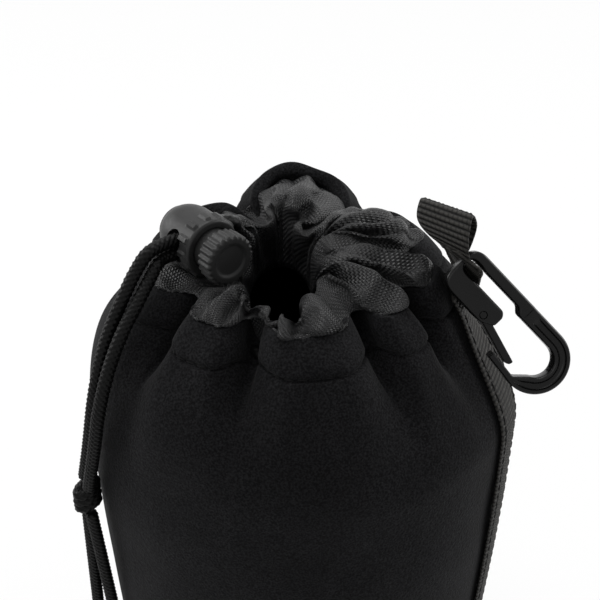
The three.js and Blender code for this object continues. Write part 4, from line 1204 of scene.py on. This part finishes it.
class POUCH_OT_lining(bpy.types.Operator):
    """Plush lining of the wall and the floor"""

    bl_idname = "pouch.lining"
    bl_label = "Plush lining"

    def execute(self, context):
        columns = 256
        azimuth = 360 * np.arange(columns)[None] / columns
        shares = np.linspace(*LINING_SHARES, 90)[:, None]
        near = WALL_THICKNESS + LINING_CLEARANCE
        outer = skin(azimuth, shares, np.full((90, columns), -near))
        inner = skin(azimuth, shares[::-1], np.full((90, columns), -near - LINING_THICKNESS))
        inner = inner + 0.35 * ripples(inner, 4, 3.0)[..., None] * surface_normals(inner)
        mesh = grid_mesh("lining_wall", np.concatenate([outer, inner]), around=True, along=True)
        sleeve = new_object("lining_wall", mesh, plush_pile())
        place(sleeve, "pouch", "plush", "lining_sleeve")
        low, high = (np.array(corner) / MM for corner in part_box("lining_base"))
        radius = (high[0] - low[0]) / 2
        ring = np.concatenate([np.linspace(0, 1, 30), np.linspace(1, 0, 8)])[:, None]
        height = np.concatenate([np.full(30, high[2]), np.full(8, low[2])])[:, None]
        points = ring_of(np.concatenate([radius * ring, height], 1), 96)
        points[:30, :, 2] += 0.25 * ripples(points[:30], 4, 5.0) - 0.2
        base_mesh = weld(grid_mesh("lining_floor", points[::-1], around=True))
        base = new_object("lining_floor", base_mesh, plush_pile())
        place(base, "pouch", "plush", "lining_base")
        return {"FINISHED"}


def ring_of(profile, columns):
    """A profile of (radius, height) turned once round the upright axis."""
    profile = np.asarray(profile, float)
    angle = TURN * np.arange(columns)[None] / columns
    radius, height = profile[:, :1], profile[:, 1:]
    return np.stack([radius * np.sin(angle), -radius * np.cos(angle), height + 0 * angle], -1)


class POUCH_OT_foot(bpy.types.Operator):
    """Padded base disc and the binding tape sewn round it"""

    bl_idname = "pouch.foot"
    bl_label = "Base and binding"

    def execute(self, context):
        low, high = (np.array(corner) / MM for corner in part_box("base_disc"))
        radius = (high[0] - low[0]) / 2
        share = np.linspace(0, 1, 24)
        edge = np.linspace(0, np.pi, 9)[1:-1]
        half = (high[2] - low[2]) / 2
        middle = (high[2] + low[2]) / 2
        rim = np.stack([radius - half + half * np.sin(edge), middle - half * np.cos(edge)], -1)
        under = np.stack([share * (radius - half), np.full(24, low[2])], -1)
        over = np.stack([share[::-1] * (radius - half), np.full(24, high[2])], -1)
        mesh = weld(grid_mesh("base_pad", ring_of(np.concatenate([under, rim, over]), 128), around=True))
        disc = new_object("base_pad", mesh, neoprene_jersey())
        place(disc, "pouch", "neoprene", "base_disc")
        self.binding()
        return {"FINISHED"}

    def binding(self):
        """A tape folded over the foot: a C-shaped profile with rounded edges, ribbed across."""
        low, high = (np.array(corner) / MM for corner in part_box("base_binding"))
        outer = (high[0] - low[0]) / 2
        tape = TAPE_THICKNESS
        top = high[2]
        theta = np.linspace(0, np.pi / 2, 8)
        corner = TAPE_CORNER
        outside = np.concatenate(
            [
                [[outer - TAPE_UNDER, 0.0]],
                np.stack([outer - corner + corner * np.sin(theta), corner - corner * np.cos(theta)], -1),
                np.stack([outer + 0 * np.linspace(0, 1, 10), np.linspace(corner + 0.4, top - 0.6, 10)], -1),
            ]
        )
        over = np.linspace(0.3, np.pi - 0.3, 6)
        cap = np.stack([outer - tape / 2 + tape / 2 * np.cos(over), top - 0.6 + 0.6 * np.sin(over)], -1)
        inside = outside[::-1] - np.array([tape, 0.0])
        inside[:, 1] = np.maximum(inside[:, 1], 0.55)
        profile = np.concatenate([outside, cap, inside])
        points = ring_of(profile, 480)
        points[..., 0:2] *= (1 + 0.0016 * np.cos(np.arange(480) * TURN / 3))[None, :, None]
        mesh = weld(grid_mesh("binding_tape", points, around=True, along=True))
        tape_piece = new_object("binding_tape", mesh, binding_grosgrain())
        place(tape_piece, "pouch", "binding", "base_binding")
        angle = TURN * np.arange(360) / 360
        line = np.stack([outer * np.sin(angle), -outer * np.cos(angle), np.full(360, top - 2.2)], -1)
        outwards = unit(line * np.array((1.0, 1.0, 0.0)))
        sew("binding_stitching", [(line, outwards)], closed=True)


# Cord lock


def lock_place(points):
    """From the lock's own frame, button along X, to its place."""
    cos, sin = math.cos(LOCK_TURN), math.sin(LOCK_TURN)
    x = points[..., 0] * cos - points[..., 1] * sin
    y = points[..., 0] * sin + points[..., 1] * cos
    return np.stack([x, y, points[..., 2]], -1) + LOCK_CENTRE


def rounded_line(corners, radii, steps=6):
    """A line of corners with each inner corner replaced by a quadratic curve of the given reach."""
    corners = np.asarray(corners, float)
    w = np.linspace(0, 1, steps)[:, None]
    pieces = [corners[:1]]
    for before, corner, after, reach in zip(corners[:-2], corners[1:-1], corners[2:], radii):
        start = corner + unit(before - corner) * reach
        end = corner + unit(after - corner) * reach
        pieces.append((1 - w) ** 2 * start + 2 * w * (1 - w) * corner + w**2 * end)
    pieces.append(corners[-1:])
    return np.concatenate(pieces)


def resample(line, step):
    """A line sampled at a nearly even step."""
    distance = distances(line)
    count = max(int(distance[-1] / step), 2)
    wanted = np.linspace(0, distance[-1], count + 1)
    return sampled(line, distance, wanted)


def turned_along_x(profile, columns, relief=None):
    """A profile of (radius, x) turned round the X axis, with a relief added to the radius."""
    angle = TURN * np.arange(columns)[None] / columns
    radius = profile[:, :1] + (0 if relief is None else relief)
    x = np.broadcast_to(profile[:, 1:], (len(profile), columns))
    return np.stack([x, radius * np.cos(angle), radius * np.sin(angle)], -1)


def strand_hole(from_x, to_x, reach):
    """A rounded prism along Y that the two strands pass through."""
    top = CORD_PITCH / 2
    quarter = np.linspace(0, np.pi / 2, 9)
    corners = ((to_x, top, 0), (from_x, top, 1), (from_x, -top, 2), (to_x, -top, 3))
    arcs = [(x, z, quarter + k * np.pi / 2) for x, z, k in corners]
    rounds = [np.stack([x + reach * np.cos(theta), z + reach * np.sin(theta)], -1) for x, z, theta in arcs]
    outline = np.concatenate(rounds)
    ends = np.array([-HOLE_REACH, HOLE_REACH])[:, None] + 0 * outline[None, :, 0]
    x, z = (0 * ends + outline[None, :, k] for k in (0, 1))
    points = np.stack([x, ends, z], -1)
    poles = points.mean(1, keepdims=True) + 0 * points
    caps = np.concatenate([poles[:1], points, poles[1:]])
    mesh = weld(grid_mesh("strand_hole", lock_place(caps), around=True))
    return new_object("strand_hole", mesh, lock_acetal())


class POUCH_OT_cord_lock(bpy.types.Operator):
    """Cord lock: domed barrel, ribbed button and spring"""

    bl_idname = "pouch.cord_lock"
    bl_label = "Cord lock"

    def execute(self, context):
        self.barrel()
        self.plunger()
        self.spring()
        return {"FINISHED"}

    def barrel(self):
        """A dome, a straight side with grip ridges at its mouth, and the bore, as one turned profile."""
        r, back, mouth = BARREL_RADIUS, BARREL_BACK, BARREL_MOUTH
        dome_angle = np.linspace(0, np.pi / 2, 20)
        dome = np.stack([r * np.sin(dome_angle) ** 0.8, -back + BARREL_DOME * (1 - np.cos(dome_angle))], -1)
        corners = [(r, -back + BARREL_DOME), (r, mouth), (BORE_RADIUS, mouth), (BORE_RADIUS, -BORE_FLOOR)]
        side = rounded_line(corners, (0.8, 0.4))
        floor = np.array([(BORE_RADIUS - 0.2, -BORE_FLOOR), (0.0, -BORE_FLOOR)])
        dome = resample(dome, 0.35)
        profile = np.concatenate([dome, resample(side, 0.3)[1:], floor])
        columns = 180
        angle = TURN * np.arange(columns)[None] / columns
        x, radius = profile[:, 1:], profile[:, :1]
        side_rows = 34
        before_bore = np.arange(len(profile))[:, None] < len(dome) + side_rows
        outside = before_bore & (radius > BORE_RADIUS + 0.8)
        along = smoothstep(x, mouth - 5.0, mouth - 4.4) * (1 - smoothstep(x, mouth - 1.4, mouth - 0.8))
        ridge = smoothstep(np.cos(12 * angle), 0.1, 0.6)
        relief = np.where(outside, 0.65 * along * ridge, 0)
        points = lock_place(turned_along_x(profile, columns, relief))
        barrel = new_object("barrel", weld(grid_mesh("barrel", points, around=True)), lock_acetal())
        cut_with(barrel, strand_hole(0, 0, STRAND_HOLE))
        barrel.data.shade_smooth()
        barrel.data.set_sharp_from_angle(angle=math.radians(38))
        soften(barrel, 0.35, 34)
        place(barrel, "cord_lock", "acetal", "lock_barrel")

    def plunger(self):
        """A stem with the strand slot and a button with fine serrations round its rim."""
        start, end = BUTTON_START, BUTTON_START + BUTTON_LENGTH
        line = rounded_line(
            [
                (0, -STEM_BACK),
                (STEM_RADIUS, -STEM_BACK),
                (STEM_RADIUS, start),
                (BUTTON_RADIUS, start),
                (BUTTON_RADIUS, end),
                (BUTTON_RADIUS - 2.2, end),
                (BUTTON_RADIUS - 3.0, end - 0.5),
                (0, end - 0.5),
            ],
            (0.5, 0.1, 0.5, 0.8, 0.4, 0.3),
        )
        profile = resample(line, 0.22)
        columns = 216
        angle = TURN * np.arange(columns)[None] / columns
        near_rim = smoothstep(profile[:, :1], BUTTON_RADIUS - 1.2, BUTTON_RADIUS - 0.5)
        relief = -0.5 * near_rim * (0.5 - 0.5 * np.cos(24 * angle))
        points = lock_place(turned_along_x(profile, columns, relief))
        mesh = weld(grid_mesh("plunger_button", points, around=True))
        plunger = new_object("plunger_button", mesh, lock_acetal())
        cut_with(plunger, strand_hole(0, PLUNGER_TRAVEL, STRAND_HOLE))
        plunger.data.shade_smooth()
        plunger.data.set_sharp_from_angle(angle=math.radians(40))
        place(plunger, "plunger", "acetal", "lock_plunger")

    def spring(self):
        """A helix of round wire between the bore's floor and the stem."""
        share = np.linspace(0, 1, 220)
        angle = TURN * SPRING_TURNS * share
        x = lerp(-BORE_FLOOR + 0.65, -STEM_BACK - 0.65, share)
        path = np.stack([x, SPRING_RADIUS * np.cos(angle), SPRING_RADIUS * np.sin(angle)], -1)
        points = tube_points(path, np.array((1.0, 0, 0)), np.full((220, 12), WIRE_RADIUS), 12)
        mesh = weld(grid_mesh("spring_wire", lock_place(close_ends(points, 0.1, 0.1)), around=True))
        spring = new_object("spring_wire", mesh, spring_steel())
        place(spring, "cord_lock", "steel", "lock_spring")
        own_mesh(spring)


def soften(piece, width, angle):
    """A small bevel on edges sharper than an angle."""
    bevel = piece.modifiers.new("edge", "BEVEL")
    bevel.width = width * MM
    bevel.segments = 3
    bevel.limit_method = "ANGLE"
    bevel.angle_limit = math.radians(angle)
    bevel.use_clamp_overlap = True


# Webbing


def webbing_section(columns):
    """A flat band's section: places across (-1 to 1), sides (1 top, -1 underneath) and how round each is."""
    flat = np.linspace(-0.94, 0.94, columns)
    theta = np.linspace(0, np.pi, 7)[1:-1]
    across = np.concatenate([flat, 0.94 + 0.06 * np.sin(theta), flat[::-1], -0.94 - 0.06 * np.sin(theta)])
    height = np.concatenate([np.ones(columns), np.cos(theta), -np.ones(columns), -np.cos(theta)])
    return across, height


def webbing_relief(distance, across, rib, warp):
    """Ribs across the band, each a row of lumps that step half a place from rib to rib."""
    wave = np.abs(np.sin(np.pi * distance / rib)) ** 0.6
    lumps = np.cos(TURN * across / warp + np.pi * np.floor(distance / rib))
    return 0.72 * wave + 0.28 * lumps * wave


def webbing_counts(distance, across, rib, warp):
    """UV map of a band: ribs counted along it and warp threads across it, with the section closed."""
    around = np.append(across, across[0])
    u, v = np.meshgrid(distance / rib, around / warp, indexing="ij")
    return np.stack([u, v], -1)


def closed_band(name, middle, across_ways, ups, widths, thickness):
    """Webbing along a closed path: a flat section with rounded edges, ribbed on both faces."""
    sizes = bpy.context.scene.pouch_sizes
    across, height = webbing_section(26)
    steps = np.linalg.norm(np.roll(middle, -1, 0) - middle, axis=1)
    distance = np.concatenate([[0], np.cumsum(steps)])[:-1]
    total = steps.sum()
    rib = total / (2 * round(total / (sizes.webbing_rib / MM) / 2))
    aside = across * sizes.webbing_width / MM / 2
    relief = webbing_relief(distance[:, None], aside[None], rib, WARP_SPACING)
    edge = np.where(np.abs(across) > 0.9, 0.35, 1.0)[None]
    lift = height[None] * (thickness / 2 - RIB_HEIGHT + RIB_HEIGHT * relief * edge)
    points = (
        middle[:, None]
        + across_ways[:, None] * (across[None] * widths[:, None] / 2)[..., None]
        + ups[:, None] * lift[..., None]
    )
    counts = webbing_counts(np.append(distance, total), aside, rib, WARP_SPACING)
    return grid_mesh(name, points, around=True, along=True, uv=counts)


def strap_frame(count):
    """Shares and points along the middle of the side strap, at even steps of length."""
    shares = np.linspace(-0.9, STRAP_TOP, 400)
    path = skin(strap_azimuth(shares), shares, np.full(400, STRAP_LOW + WEBBING_THICKNESS / 2))
    distance = distances(path)
    wanted = np.interp(np.linspace(0, distance[-1], count), distance, shares)
    middle = skin(strap_azimuth(wanted), wanted, np.full(count, STRAP_LOW + WEBBING_THICKNESS / 2))
    return wanted, middle


class POUCH_OT_strap(bpy.types.Operator):
    """Side strap of webbing, sewn down along both edges"""

    bl_idname = "pouch.strap"
    bl_label = "Side strap"

    def execute(self, context):
        sizes = context.scene.pouch_sizes
        width = sizes.webbing_width / MM
        count = 640
        shares, middle = strap_frame(count)
        across, height = webbing_section(26)
        girth = np.hypot(middle[:, 0], middle[:, 1])
        half_angle = np.degrees(width / 2 / girth)
        azimuth = strap_azimuth(shares)[:, None] + across[None] * half_angle[:, None]
        distance = distances(middle)
        rib = sizes.webbing_rib / MM
        aside = across * width / 2
        relief = webbing_relief(distance[:, None], aside[None], rib, WARP_SPACING)
        edge = np.where(np.abs(across) > 0.9, 0.35, 1.0)[None]
        seam = -0.35 * bell(np.abs(across), SEAM_PLACE, 0.06)[None]
        half = WEBBING_THICKNESS / 2
        lift = height[None] * (half - RIB_HEIGHT + RIB_HEIGHT * relief * edge)
        out = STRAP_LOW + half + lift + np.where(height > 0, 1, 0) * seam
        points = skin(azimuth, shares[:, None] + 0 * azimuth, out)
        ends = [0 * points[:1] + points[k].mean(0) for k in (0, -1)]
        reach = np.concatenate([distance[:1], distance, distance[-1:]])
        counts = webbing_counts(reach, aside, rib, WARP_SPACING)
        mesh = grid_mesh("webbing_strap", np.concatenate([ends[0], points, ends[1]]), around=True, uv=counts)
        weld(mesh)
        strap = new_object("webbing_strap", mesh, ribbed_webbing())
        place(strap, "pouch", "webbing", "side_strap")
        lines = []
        below = shares < STITCH_TOP
        for side in (-SEAM_PLACE, SEAM_PLACE):
            spread = (strap_azimuth(shares) + side * half_angle)[below]
            line = skin(spread, shares[below], 0 * spread + STRAP_LOW + WEBBING_THICKNESS - 0.15)
            normal, _ = shell_ways(spread, shares[below])
            lines.append((line, normal))
        sew("strap_stitching", lines)
        return {"FINISHED"}


def hook_place(points):
    """From the hook's flat frame to its place."""
    points = np.asarray(points, float)
    return HOOK_ORIGIN + points[..., :1] * HOOK_U + points[..., 1:2] * HOOK_V + points[..., 2:3] * HOOK_W


def hook_way(u, v, w):
    """A direction of the hook's flat frame."""
    return u * HOOK_U + v * HOOK_V + w * HOOK_W


def loop_route(width):
    """Steps of the hang loop: its middle, and the way its width runs times that width."""
    offset = STRAP_LOW + WEBBING_THICKNESS + 0.6 + WEBBING_THICKNESS / 2
    top = math.radians(STRAP_TOP_AZIMUTH)
    frontways = np.array((-math.cos(top), -math.sin(top), 0))
    slot = (SLOT_LOW + SLOT_HIGH) / 2
    root = skin(np.array(STRAP_TOP_AZIMUTH), np.array(0.76), np.array(offset))
    rise = skin(np.array(STRAP_TOP_AZIMUTH), np.array(0.9), np.array(offset + 0.8))
    steps = [
        (root, frontways, 0.87),
        (rise, frontways, 0.82),
        ((39.7, -9.3, 166), (0.12, -0.97, 0), 0.88),
        ((39.7, -8.4, 171), (0.5, -0.86, 0), 0.95),
        ((39.1, -8.6, 177.4), (0.78, -0.62, -0.03), 1),
        ((37, -12.4, 182), (0.82, -0.57, -0.05), 1),
        ((35.8, -16.8, 178.4), (0.82, -0.56, -0.1), 0.98),
        ((37.9, -20.3, 174.6), (0.82, -0.47, -0.28), 0.72),
        (hook_place((-0.8, slot + 0.3, 5.2)), hook_way(0.95, 0.1, 0.1), 0.47),
        (hook_place((2, slot - 0.2, 0)), hook_way(1, 0, 0.15), 0.36),
        (hook_place((3.6, slot - 1.2, -6.4)), hook_way(0.86, -0.1, 0.4), 0.5),
    ]
    middles = np.array([middle for middle, _, _ in steps], float)
    ways = np.array([unit(way) * share * width for _, way, share in steps])
    return middles, ways


class POUCH_OT_hang_loop(bpy.types.Operator):
    """Hang loop of webbing that carries the hook"""

    bl_idname = "pouch.hang_loop"
    bl_label = "Hang loop"

    def execute(self, context):
        sizes = context.scene.pouch_sizes
        middles, ways = loop_route(sizes.webbing_width / MM)
        both, _ = smooth_curve(np.concatenate([middles, ways], 1), 460, closed=True)
        middle, wide = both[:, :3], both[:, 3:]
        along = tangents(middle, closed=True)
        across = unit(wide)
        ups = unit(np.cross(along, across))
        widths = np.linalg.norm(wide, axis=-1)
        mesh = closed_band("webbing_loop", middle, across, ups, widths, WEBBING_THICKNESS)
        loop = new_object("webbing_loop", weld(mesh), ribbed_webbing())
        place(loop, "loop", "webbing", "hang_loop")
        return {"FINISHED"}


# Hook


def arc(centre, radius, start, end, count):
    """Points on an arc, from one angle to another in degrees."""
    angle = np.radians(np.linspace(start, end, count))
    return np.stack([centre[0] + radius * np.cos(angle), centre[1] + radius * np.sin(angle)], -1)


def even_outline(points, step, smoothing):
    """A closed outline at an even step, with its corners eased by averaging neighbours."""
    loop = resample(np.concatenate([points, points[:1]]), step)[:-1]
    for _ in range(smoothing):
        loop = (np.roll(loop, 1, 0) + 2 * loop + np.roll(loop, -1, 0)) / 4
    return loop


def edge_radii(outline, edge):
    """A rounding radius for each point of an outline: less where the shape is thin, even along its length."""
    count = len(outline)
    apart = np.abs(np.subtract.outer(np.arange(count), np.arange(count)))
    beside = np.minimum(apart, count - apart) < 12
    far = np.linalg.norm(outline[:, None] - outline[None], axis=-1) + np.where(beside, 1e3, 0)
    radii = np.minimum(edge, 0.36 * far.min(1))
    for _ in range(12):
        radii = np.minimum(radii, (np.roll(radii, 1) + radii + np.roll(radii, -1)) / 3)
    return radii


def plate(name, outline, thickness, edge, material):
    """A flat outline given a thickness, with a quarter-round edge of up to a given radius."""
    before = unit(outline - np.roll(outline, 1, 0))
    after = unit(np.roll(outline, -1, 0) - outline)
    inward_before = np.stack([-before[:, 1], before[:, 0]], -1)
    inward_after = np.stack([-after[:, 1], after[:, 0]], -1)
    meeting = 1 + (inward_before * inward_after).sum(-1, keepdims=True)
    inward = (inward_before + inward_after) / np.maximum(meeting, 0.4)
    theta = np.linspace(0, np.pi / 2, 7)[:, None]
    radii = edge_radii(outline, edge)[None]
    inset = np.concatenate([radii * (1 - np.cos(theta)), 1.08 * radii])
    level = np.concatenate([thickness / 2 - radii + radii * np.sin(theta), 0 * radii + thickness / 2])
    insets = np.concatenate([inset[::-1], inset])
    levels = np.concatenate([-level[::-1], level])
    flat = outline[None] + inward[None] * insets[..., None]
    points = np.concatenate([flat, levels[..., None]], -1)
    rows, columns = points.shape[:2]
    quads, _, _ = grid_faces(rows, columns, around=True)
    faces = quads.tolist() + [list(range(columns))[::-1], list(range((rows - 1) * columns, rows * columns))]
    mesh = bpy.data.meshes.new(name)
    mesh.from_pydata((hook_place(points.reshape(-1, 3)) * MM).tolist(), [], faces)
    mesh.validate()
    weld(mesh)
    return new_object(name, mesh, material)


def head_outline():
    """The outline of the hook's head: the spine's start, the round end, the slot and the gate's bar."""
    spine_edge = BOW_CENTRE[1] + BOW_RADIUS
    spine_inner = BOW_CENTRE[1] + BOW_INNER_RADIUS
    slot_middle = (SLOT_END, (SLOT_LOW + SLOT_HIGH) / 2)
    head_end = [
        (HEAD_END + 8, spine_edge),
        (HEAD_END, spine_edge),
        (HEAD_END, BAR_EDGE),
        (BAR_END - 3.6, BAR_EDGE),
    ]
    return np.concatenate(
        [
            [(BAR_END + 4.5, spine_edge)],
            rounded_line(head_end, (4, 4), 10),
            [(BAR_END, BAR_EDGE + 2), (BAR_END, SLOT_LOW - 1.2), (BAR_END - 1.2, SLOT_LOW)],
            arc(slot_middle, (SLOT_HIGH - SLOT_LOW) / 2, 270, 90, 14),
            [(BAR_END + 0.6, SLOT_HIGH), (BAR_END + 2.2, spine_inner), (BAR_END + 4.5, spine_inner)],
        ]
    )


def bow_edges():
    """The outer and inner edge of the spine, the bow and the nose, as points that face each other."""
    spine = BAR_END + 3
    share = np.linspace(0, 1, 40)[:, None]
    nose_top = (NOSE_TIP[0], NOSE_TIP[1] + NOSE_THICKNESS)
    landing = (BOW_CENTRE[0] - 1, GATE_TIP[1] - GATE_THICKNESS / 2 - 0.6)
    outer_bend = arc(BOW_CENTRE, BOW_RADIUS, -105, 90, 100)
    inner_bend = arc(BOW_CENTRE, BOW_INNER_RADIUS, -60, 90, 77)
    outer = [
        lerp(np.array(NOSE_TIP), outer_bend[0], share),
        outer_bend,
        lerp(outer_bend[-1], np.array((spine, outer_bend[-1, 1])), share),
    ]
    inner = [
        lerp(np.array(nose_top), np.array(landing), share),
        lerp(np.array(landing), inner_bend[0], share[:23] / share[23]),
        inner_bend,
        lerp(inner_bend[-1], np.array((spine, inner_bend[-1, 1])), share),
    ]
    edges = []
    for parts in (outer, inner):
        line = np.concatenate(parts)
        for _ in range(6):
            line[1:-1] = (line[:-2] + 2 * line[1:-1] + line[2:]) / 4
        edges.append(line)
    return edges


def grooved_bar(edge):
    """A bar between the bow's two edges: a rounded section with a round-bottomed groove along both faces."""
    outer, inner = bow_edges()
    middle = (outer + inner) / 2
    across = unit(outer - inner)
    half = np.linalg.norm(outer - inner, axis=1)[:, None] / 2 - 0.02
    level = HOOK_THICKNESS / 2 - 0.02
    rounding = np.minimum(edge, 0.7 * half)
    share = np.linspace(0, 1, len(middle))[:, None]
    depth = HOOK_GROOVE_DEPTH * smoothstep(share, 0.24, 0.34) * (1 - smoothstep(share, 0.9, 0.95))
    flat = np.linspace(-1, 1, 33)[None]
    face = level - depth * np.sqrt(np.maximum(1 - (flat / 0.8) ** 2, 0))
    theta = np.linspace(np.pi / 2, -np.pi / 2, 14)[None]
    side_x = half - rounding + rounding * np.cos(theta)
    side_z = np.sign(theta) * (level - rounding) + rounding * np.sin(theta)
    x = np.concatenate([flat * (half - rounding), side_x, flat[:, ::-1] * (half - rounding), -side_x], 1)
    z = np.concatenate([face, side_z, -face[:, ::-1], -side_z], 1)
    points = np.concatenate([middle[:, None] + across[:, None] * x[..., None], z[..., None]], -1)
    ends = [0 * points[:1] + points[k].mean(0) for k in (0, -1)]
    return weld(grid_mesh("hook_bow", hook_place(np.concatenate([ends[0], points, ends[1]])), around=True))


class POUCH_OT_hook(bpy.types.Operator):
    """Hook with a grooved bow, and its leaf gate"""

    bl_idname = "pouch.hook"
    bl_label = "Hook and gate"

    def execute(self, context):
        edge = context.scene.pouch_sizes.hook_edge / MM
        material = hook_acetal()
        head = plate("hook_head", even_outline(head_outline(), 0.4, 2), HOOK_THICKNESS, edge, material)
        pocket_back = GATE_PIVOT[0] - GATE_THICKNESS / 2 - 0.3
        pocket = np.array(
            [
                (pocket_back, BAR_EDGE - 2),
                (BAR_END + 2, BAR_EDGE - 2),
                (BAR_END + 2, SLOT_LOW - 1),
                (pocket_back, SLOT_LOW - 1),
            ]
        )
        cut_with(head, plate("pocket", even_outline(pocket, 0.5, 1), GATE_WIDTH + 0.6, 0.1, material))
        stud_hole = even_outline(arc(GATE_PIVOT, GATE_STUD_RADIUS + 0.2, 0, 345, 24), 0.25, 0)
        cut_with(head, plate("stud_hole", stud_hole, HOOK_THICKNESS + 3, 0.05, material))
        bow = new_object("hook_bow", grooved_bar(edge), material)
        for piece in (head, bow):
            piece.data.shade_smooth()
            piece.data.set_sharp_from_angle(angle=math.radians(35))
            place(piece, "carabiner", "hook", "carabiner_body")
        self.gate(material)
        return {"FINISHED"}

    def gate(self, material):
        """A thin leaf with a rounded root and a chamfered tip, and the studs it turns on."""
        run = GATE_TIP - GATE_PIVOT
        length = np.linalg.norm(run)
        way = run / length
        across = np.array((-way[1], way[0]))
        half = GATE_THICKNESS / 2
        leaf = np.concatenate(
            [
                arc((0, 0), half, 90, 270, 12),
                [(length - 1, -half), (length, -half + 0.8), (length, half)],
            ]
        )
        outline = GATE_PIVOT + leaf[:, :1] * way + leaf[:, 1:] * across
        gate = plate("hook_gate", even_outline(outline, 0.35, 1), GATE_WIDTH, 0.35, material)
        stud = even_outline(arc(GATE_PIVOT, GATE_STUD_RADIUS, 0, 345, 24), 0.2, 0)
        pin = plate("gate_stud", stud, GATE_WIDTH + 2 * GATE_STUD_LENGTH, 0.15, material)
        for piece in (gate, pin):
            piece.data.set_sharp_from_angle(angle=math.radians(35))
        place(gate, "gate", "hook", "carabiner_gate")
        place(pin, "gate", "hook")


# Stage


class POUCH_OT_stage(bpy.types.Operator):
    """White floor, soft studio lamps and the camera"""

    bl_idname = "pouch.stage"
    bl_label = "Stage"

    def execute(self, context):
        scene = context.scene
        scene.view_settings.view_transform = "Standard"
        self.camera(scene)
        self.world(scene)
        self.floor()
        for name, spot, size, power in LAMPS:
            self.lamp(scene, name, Vector(spot), size, power)
        return {"FINISHED"}

    def camera(self, scene):
        """Camera 300 mm from a point 147 mm up, looking 32 degrees down."""
        data = bpy.data.cameras.new("camera")
        data.sensor_width = 36
        data.lens = FOCAL_LENGTH
        data.shift_x = 1 / 600
        camera = bpy.data.objects.new("camera", data)
        camera.location = (
            0,
            -CAMERA_DISTANCE * math.cos(CAMERA_ELEVATION),
            AIM_HEIGHT + CAMERA_DISTANCE * math.sin(CAMERA_ELEVATION),
        )
        camera.rotation_euler = (math.pi / 2 - CAMERA_ELEVATION, 0, 0)
        data.clip_start = 0.01
        scene.collection.objects.link(camera)
        scene.camera = camera

    def world(self, scene):
        """White to the camera and in reflections, a soft grey as light."""
        world = bpy.data.worlds.new("white_room")
        scene.world = world
        world.use_nodes = True
        tree = world.node_tree
        tree.nodes.clear()
        seen = seen_rays(tree)
        strength = add_node(tree, "ShaderNodeMapRange", {0: seen.outputs[0], 3: 0.16, 4: 1.0})
        back = add_node(
            tree, "ShaderNodeBackground", {"Color": (1, 1, 1, 1), "Strength": strength.outputs[0]}
        )
        add_node(tree, "ShaderNodeOutputWorld", {"Surface": back.outputs[0]})

    def floor(self):
        """A wide pale disc, nearly pure white to the camera and with a trace of the object's shadow."""
        points = ring_of([(0, 0), (600, 0), (2500, 0)], 96)
        points[..., 2] -= 0.05
        mesh = weld(grid_mesh("floor", points, around=True))
        material = bpy.data.materials.new("white_paper")
        material.use_nodes = True
        tree = material.node_tree
        tree.nodes.clear()
        paper = add_node(tree, "ShaderNodeBsdfDiffuse", {"Color": linear("#f6f6f6")})
        glow = add_node(tree, "ShaderNodeEmission", {"Color": (1, 1, 1, 1), "Strength": 1.0})
        seen = seen_rays(tree)
        part = add_node(tree, "ShaderNodeMath", {0: seen.outputs[0], 1: 0.93}, operation="MULTIPLY")
        mix = add_node(
            tree, "ShaderNodeMixShader", {0: part.outputs[0], 1: paper.outputs[0], 2: glow.outputs[0]}
        )
        add_node(tree, "ShaderNodeOutputMaterial", {"Surface": mix.outputs[0]})
        floor = new_object("floor", mesh, material)

    def lamp(self, scene, name, spot, size, power):
        """A square soft lamp that faces the pouch."""
        data = bpy.data.lights.new(name, "AREA")
        data.size = size
        data.energy = power
        lamp = bpy.data.objects.new(name, data)
        lamp.location = spot
        lamp.rotation_euler = (Vector((0, 0, 0.14)) - spot).to_track_quat("-Z", "Y").to_euler()
        scene.collection.objects.link(lamp)


class POUCH_PT_panel(bpy.types.Panel):
    """Sizes, colours and pieces of the pouch"""

    bl_label = "Lens Pouch"
    bl_idname = "POUCH_PT_panel"
    bl_space_type = "VIEW_3D"
    bl_region_type = "UI"
    bl_category = "Pouch"

    def draw(self, context):
        layout = self.layout
        for group in (context.scene.pouch_sizes, context.scene.pouch_colours):
            box = layout.box()
            for key in group.__annotations__:
                box.prop(group, key)
        for operator in OPERATORS:
            layout.operator(operator.bl_idname)


OPERATORS = (
    POUCH_OT_stage,
    POUCH_OT_cords,
    POUCH_OT_wall,
    POUCH_OT_casing,
    POUCH_OT_lining,
    POUCH_OT_foot,
    POUCH_OT_cord_lock,
    POUCH_OT_strap,
    POUCH_OT_hang_loop,
    POUCH_OT_hook,
)
CLASSES = (PouchSizes, PouchColours) + OPERATORS + (POUCH_PT_panel,)


def register():
    """Registers the classes and hangs the settings on the scene."""
    for cls in CLASSES:
        bpy.utils.register_class(cls)
    bpy.types.Scene.pouch_sizes = bpy.props.PointerProperty(type=PouchSizes)
    bpy.types.Scene.pouch_colours = bpy.props.PointerProperty(type=PouchColours)


def unregister():
    """Removes the settings and the classes."""
    del bpy.types.Scene.pouch_colours
    del bpy.types.Scene.pouch_sizes
    for cls in reversed(CLASSES):
        bpy.utils.unregister_class(cls)


def main():
    """Builds every piece in order."""
    register()
    bpy.ops.pouch.stage()
    bpy.ops.pouch.cords()
    bpy.ops.pouch.wall()
    bpy.ops.pouch.casing()
    bpy.ops.pouch.lining()
    bpy.ops.pouch.foot()
    bpy.ops.pouch.cord_lock()
    bpy.ops.pouch.strap()
    bpy.ops.pouch.hang_loop()
    bpy.ops.pouch.hook()


if __name__ == "__main__":
    main()
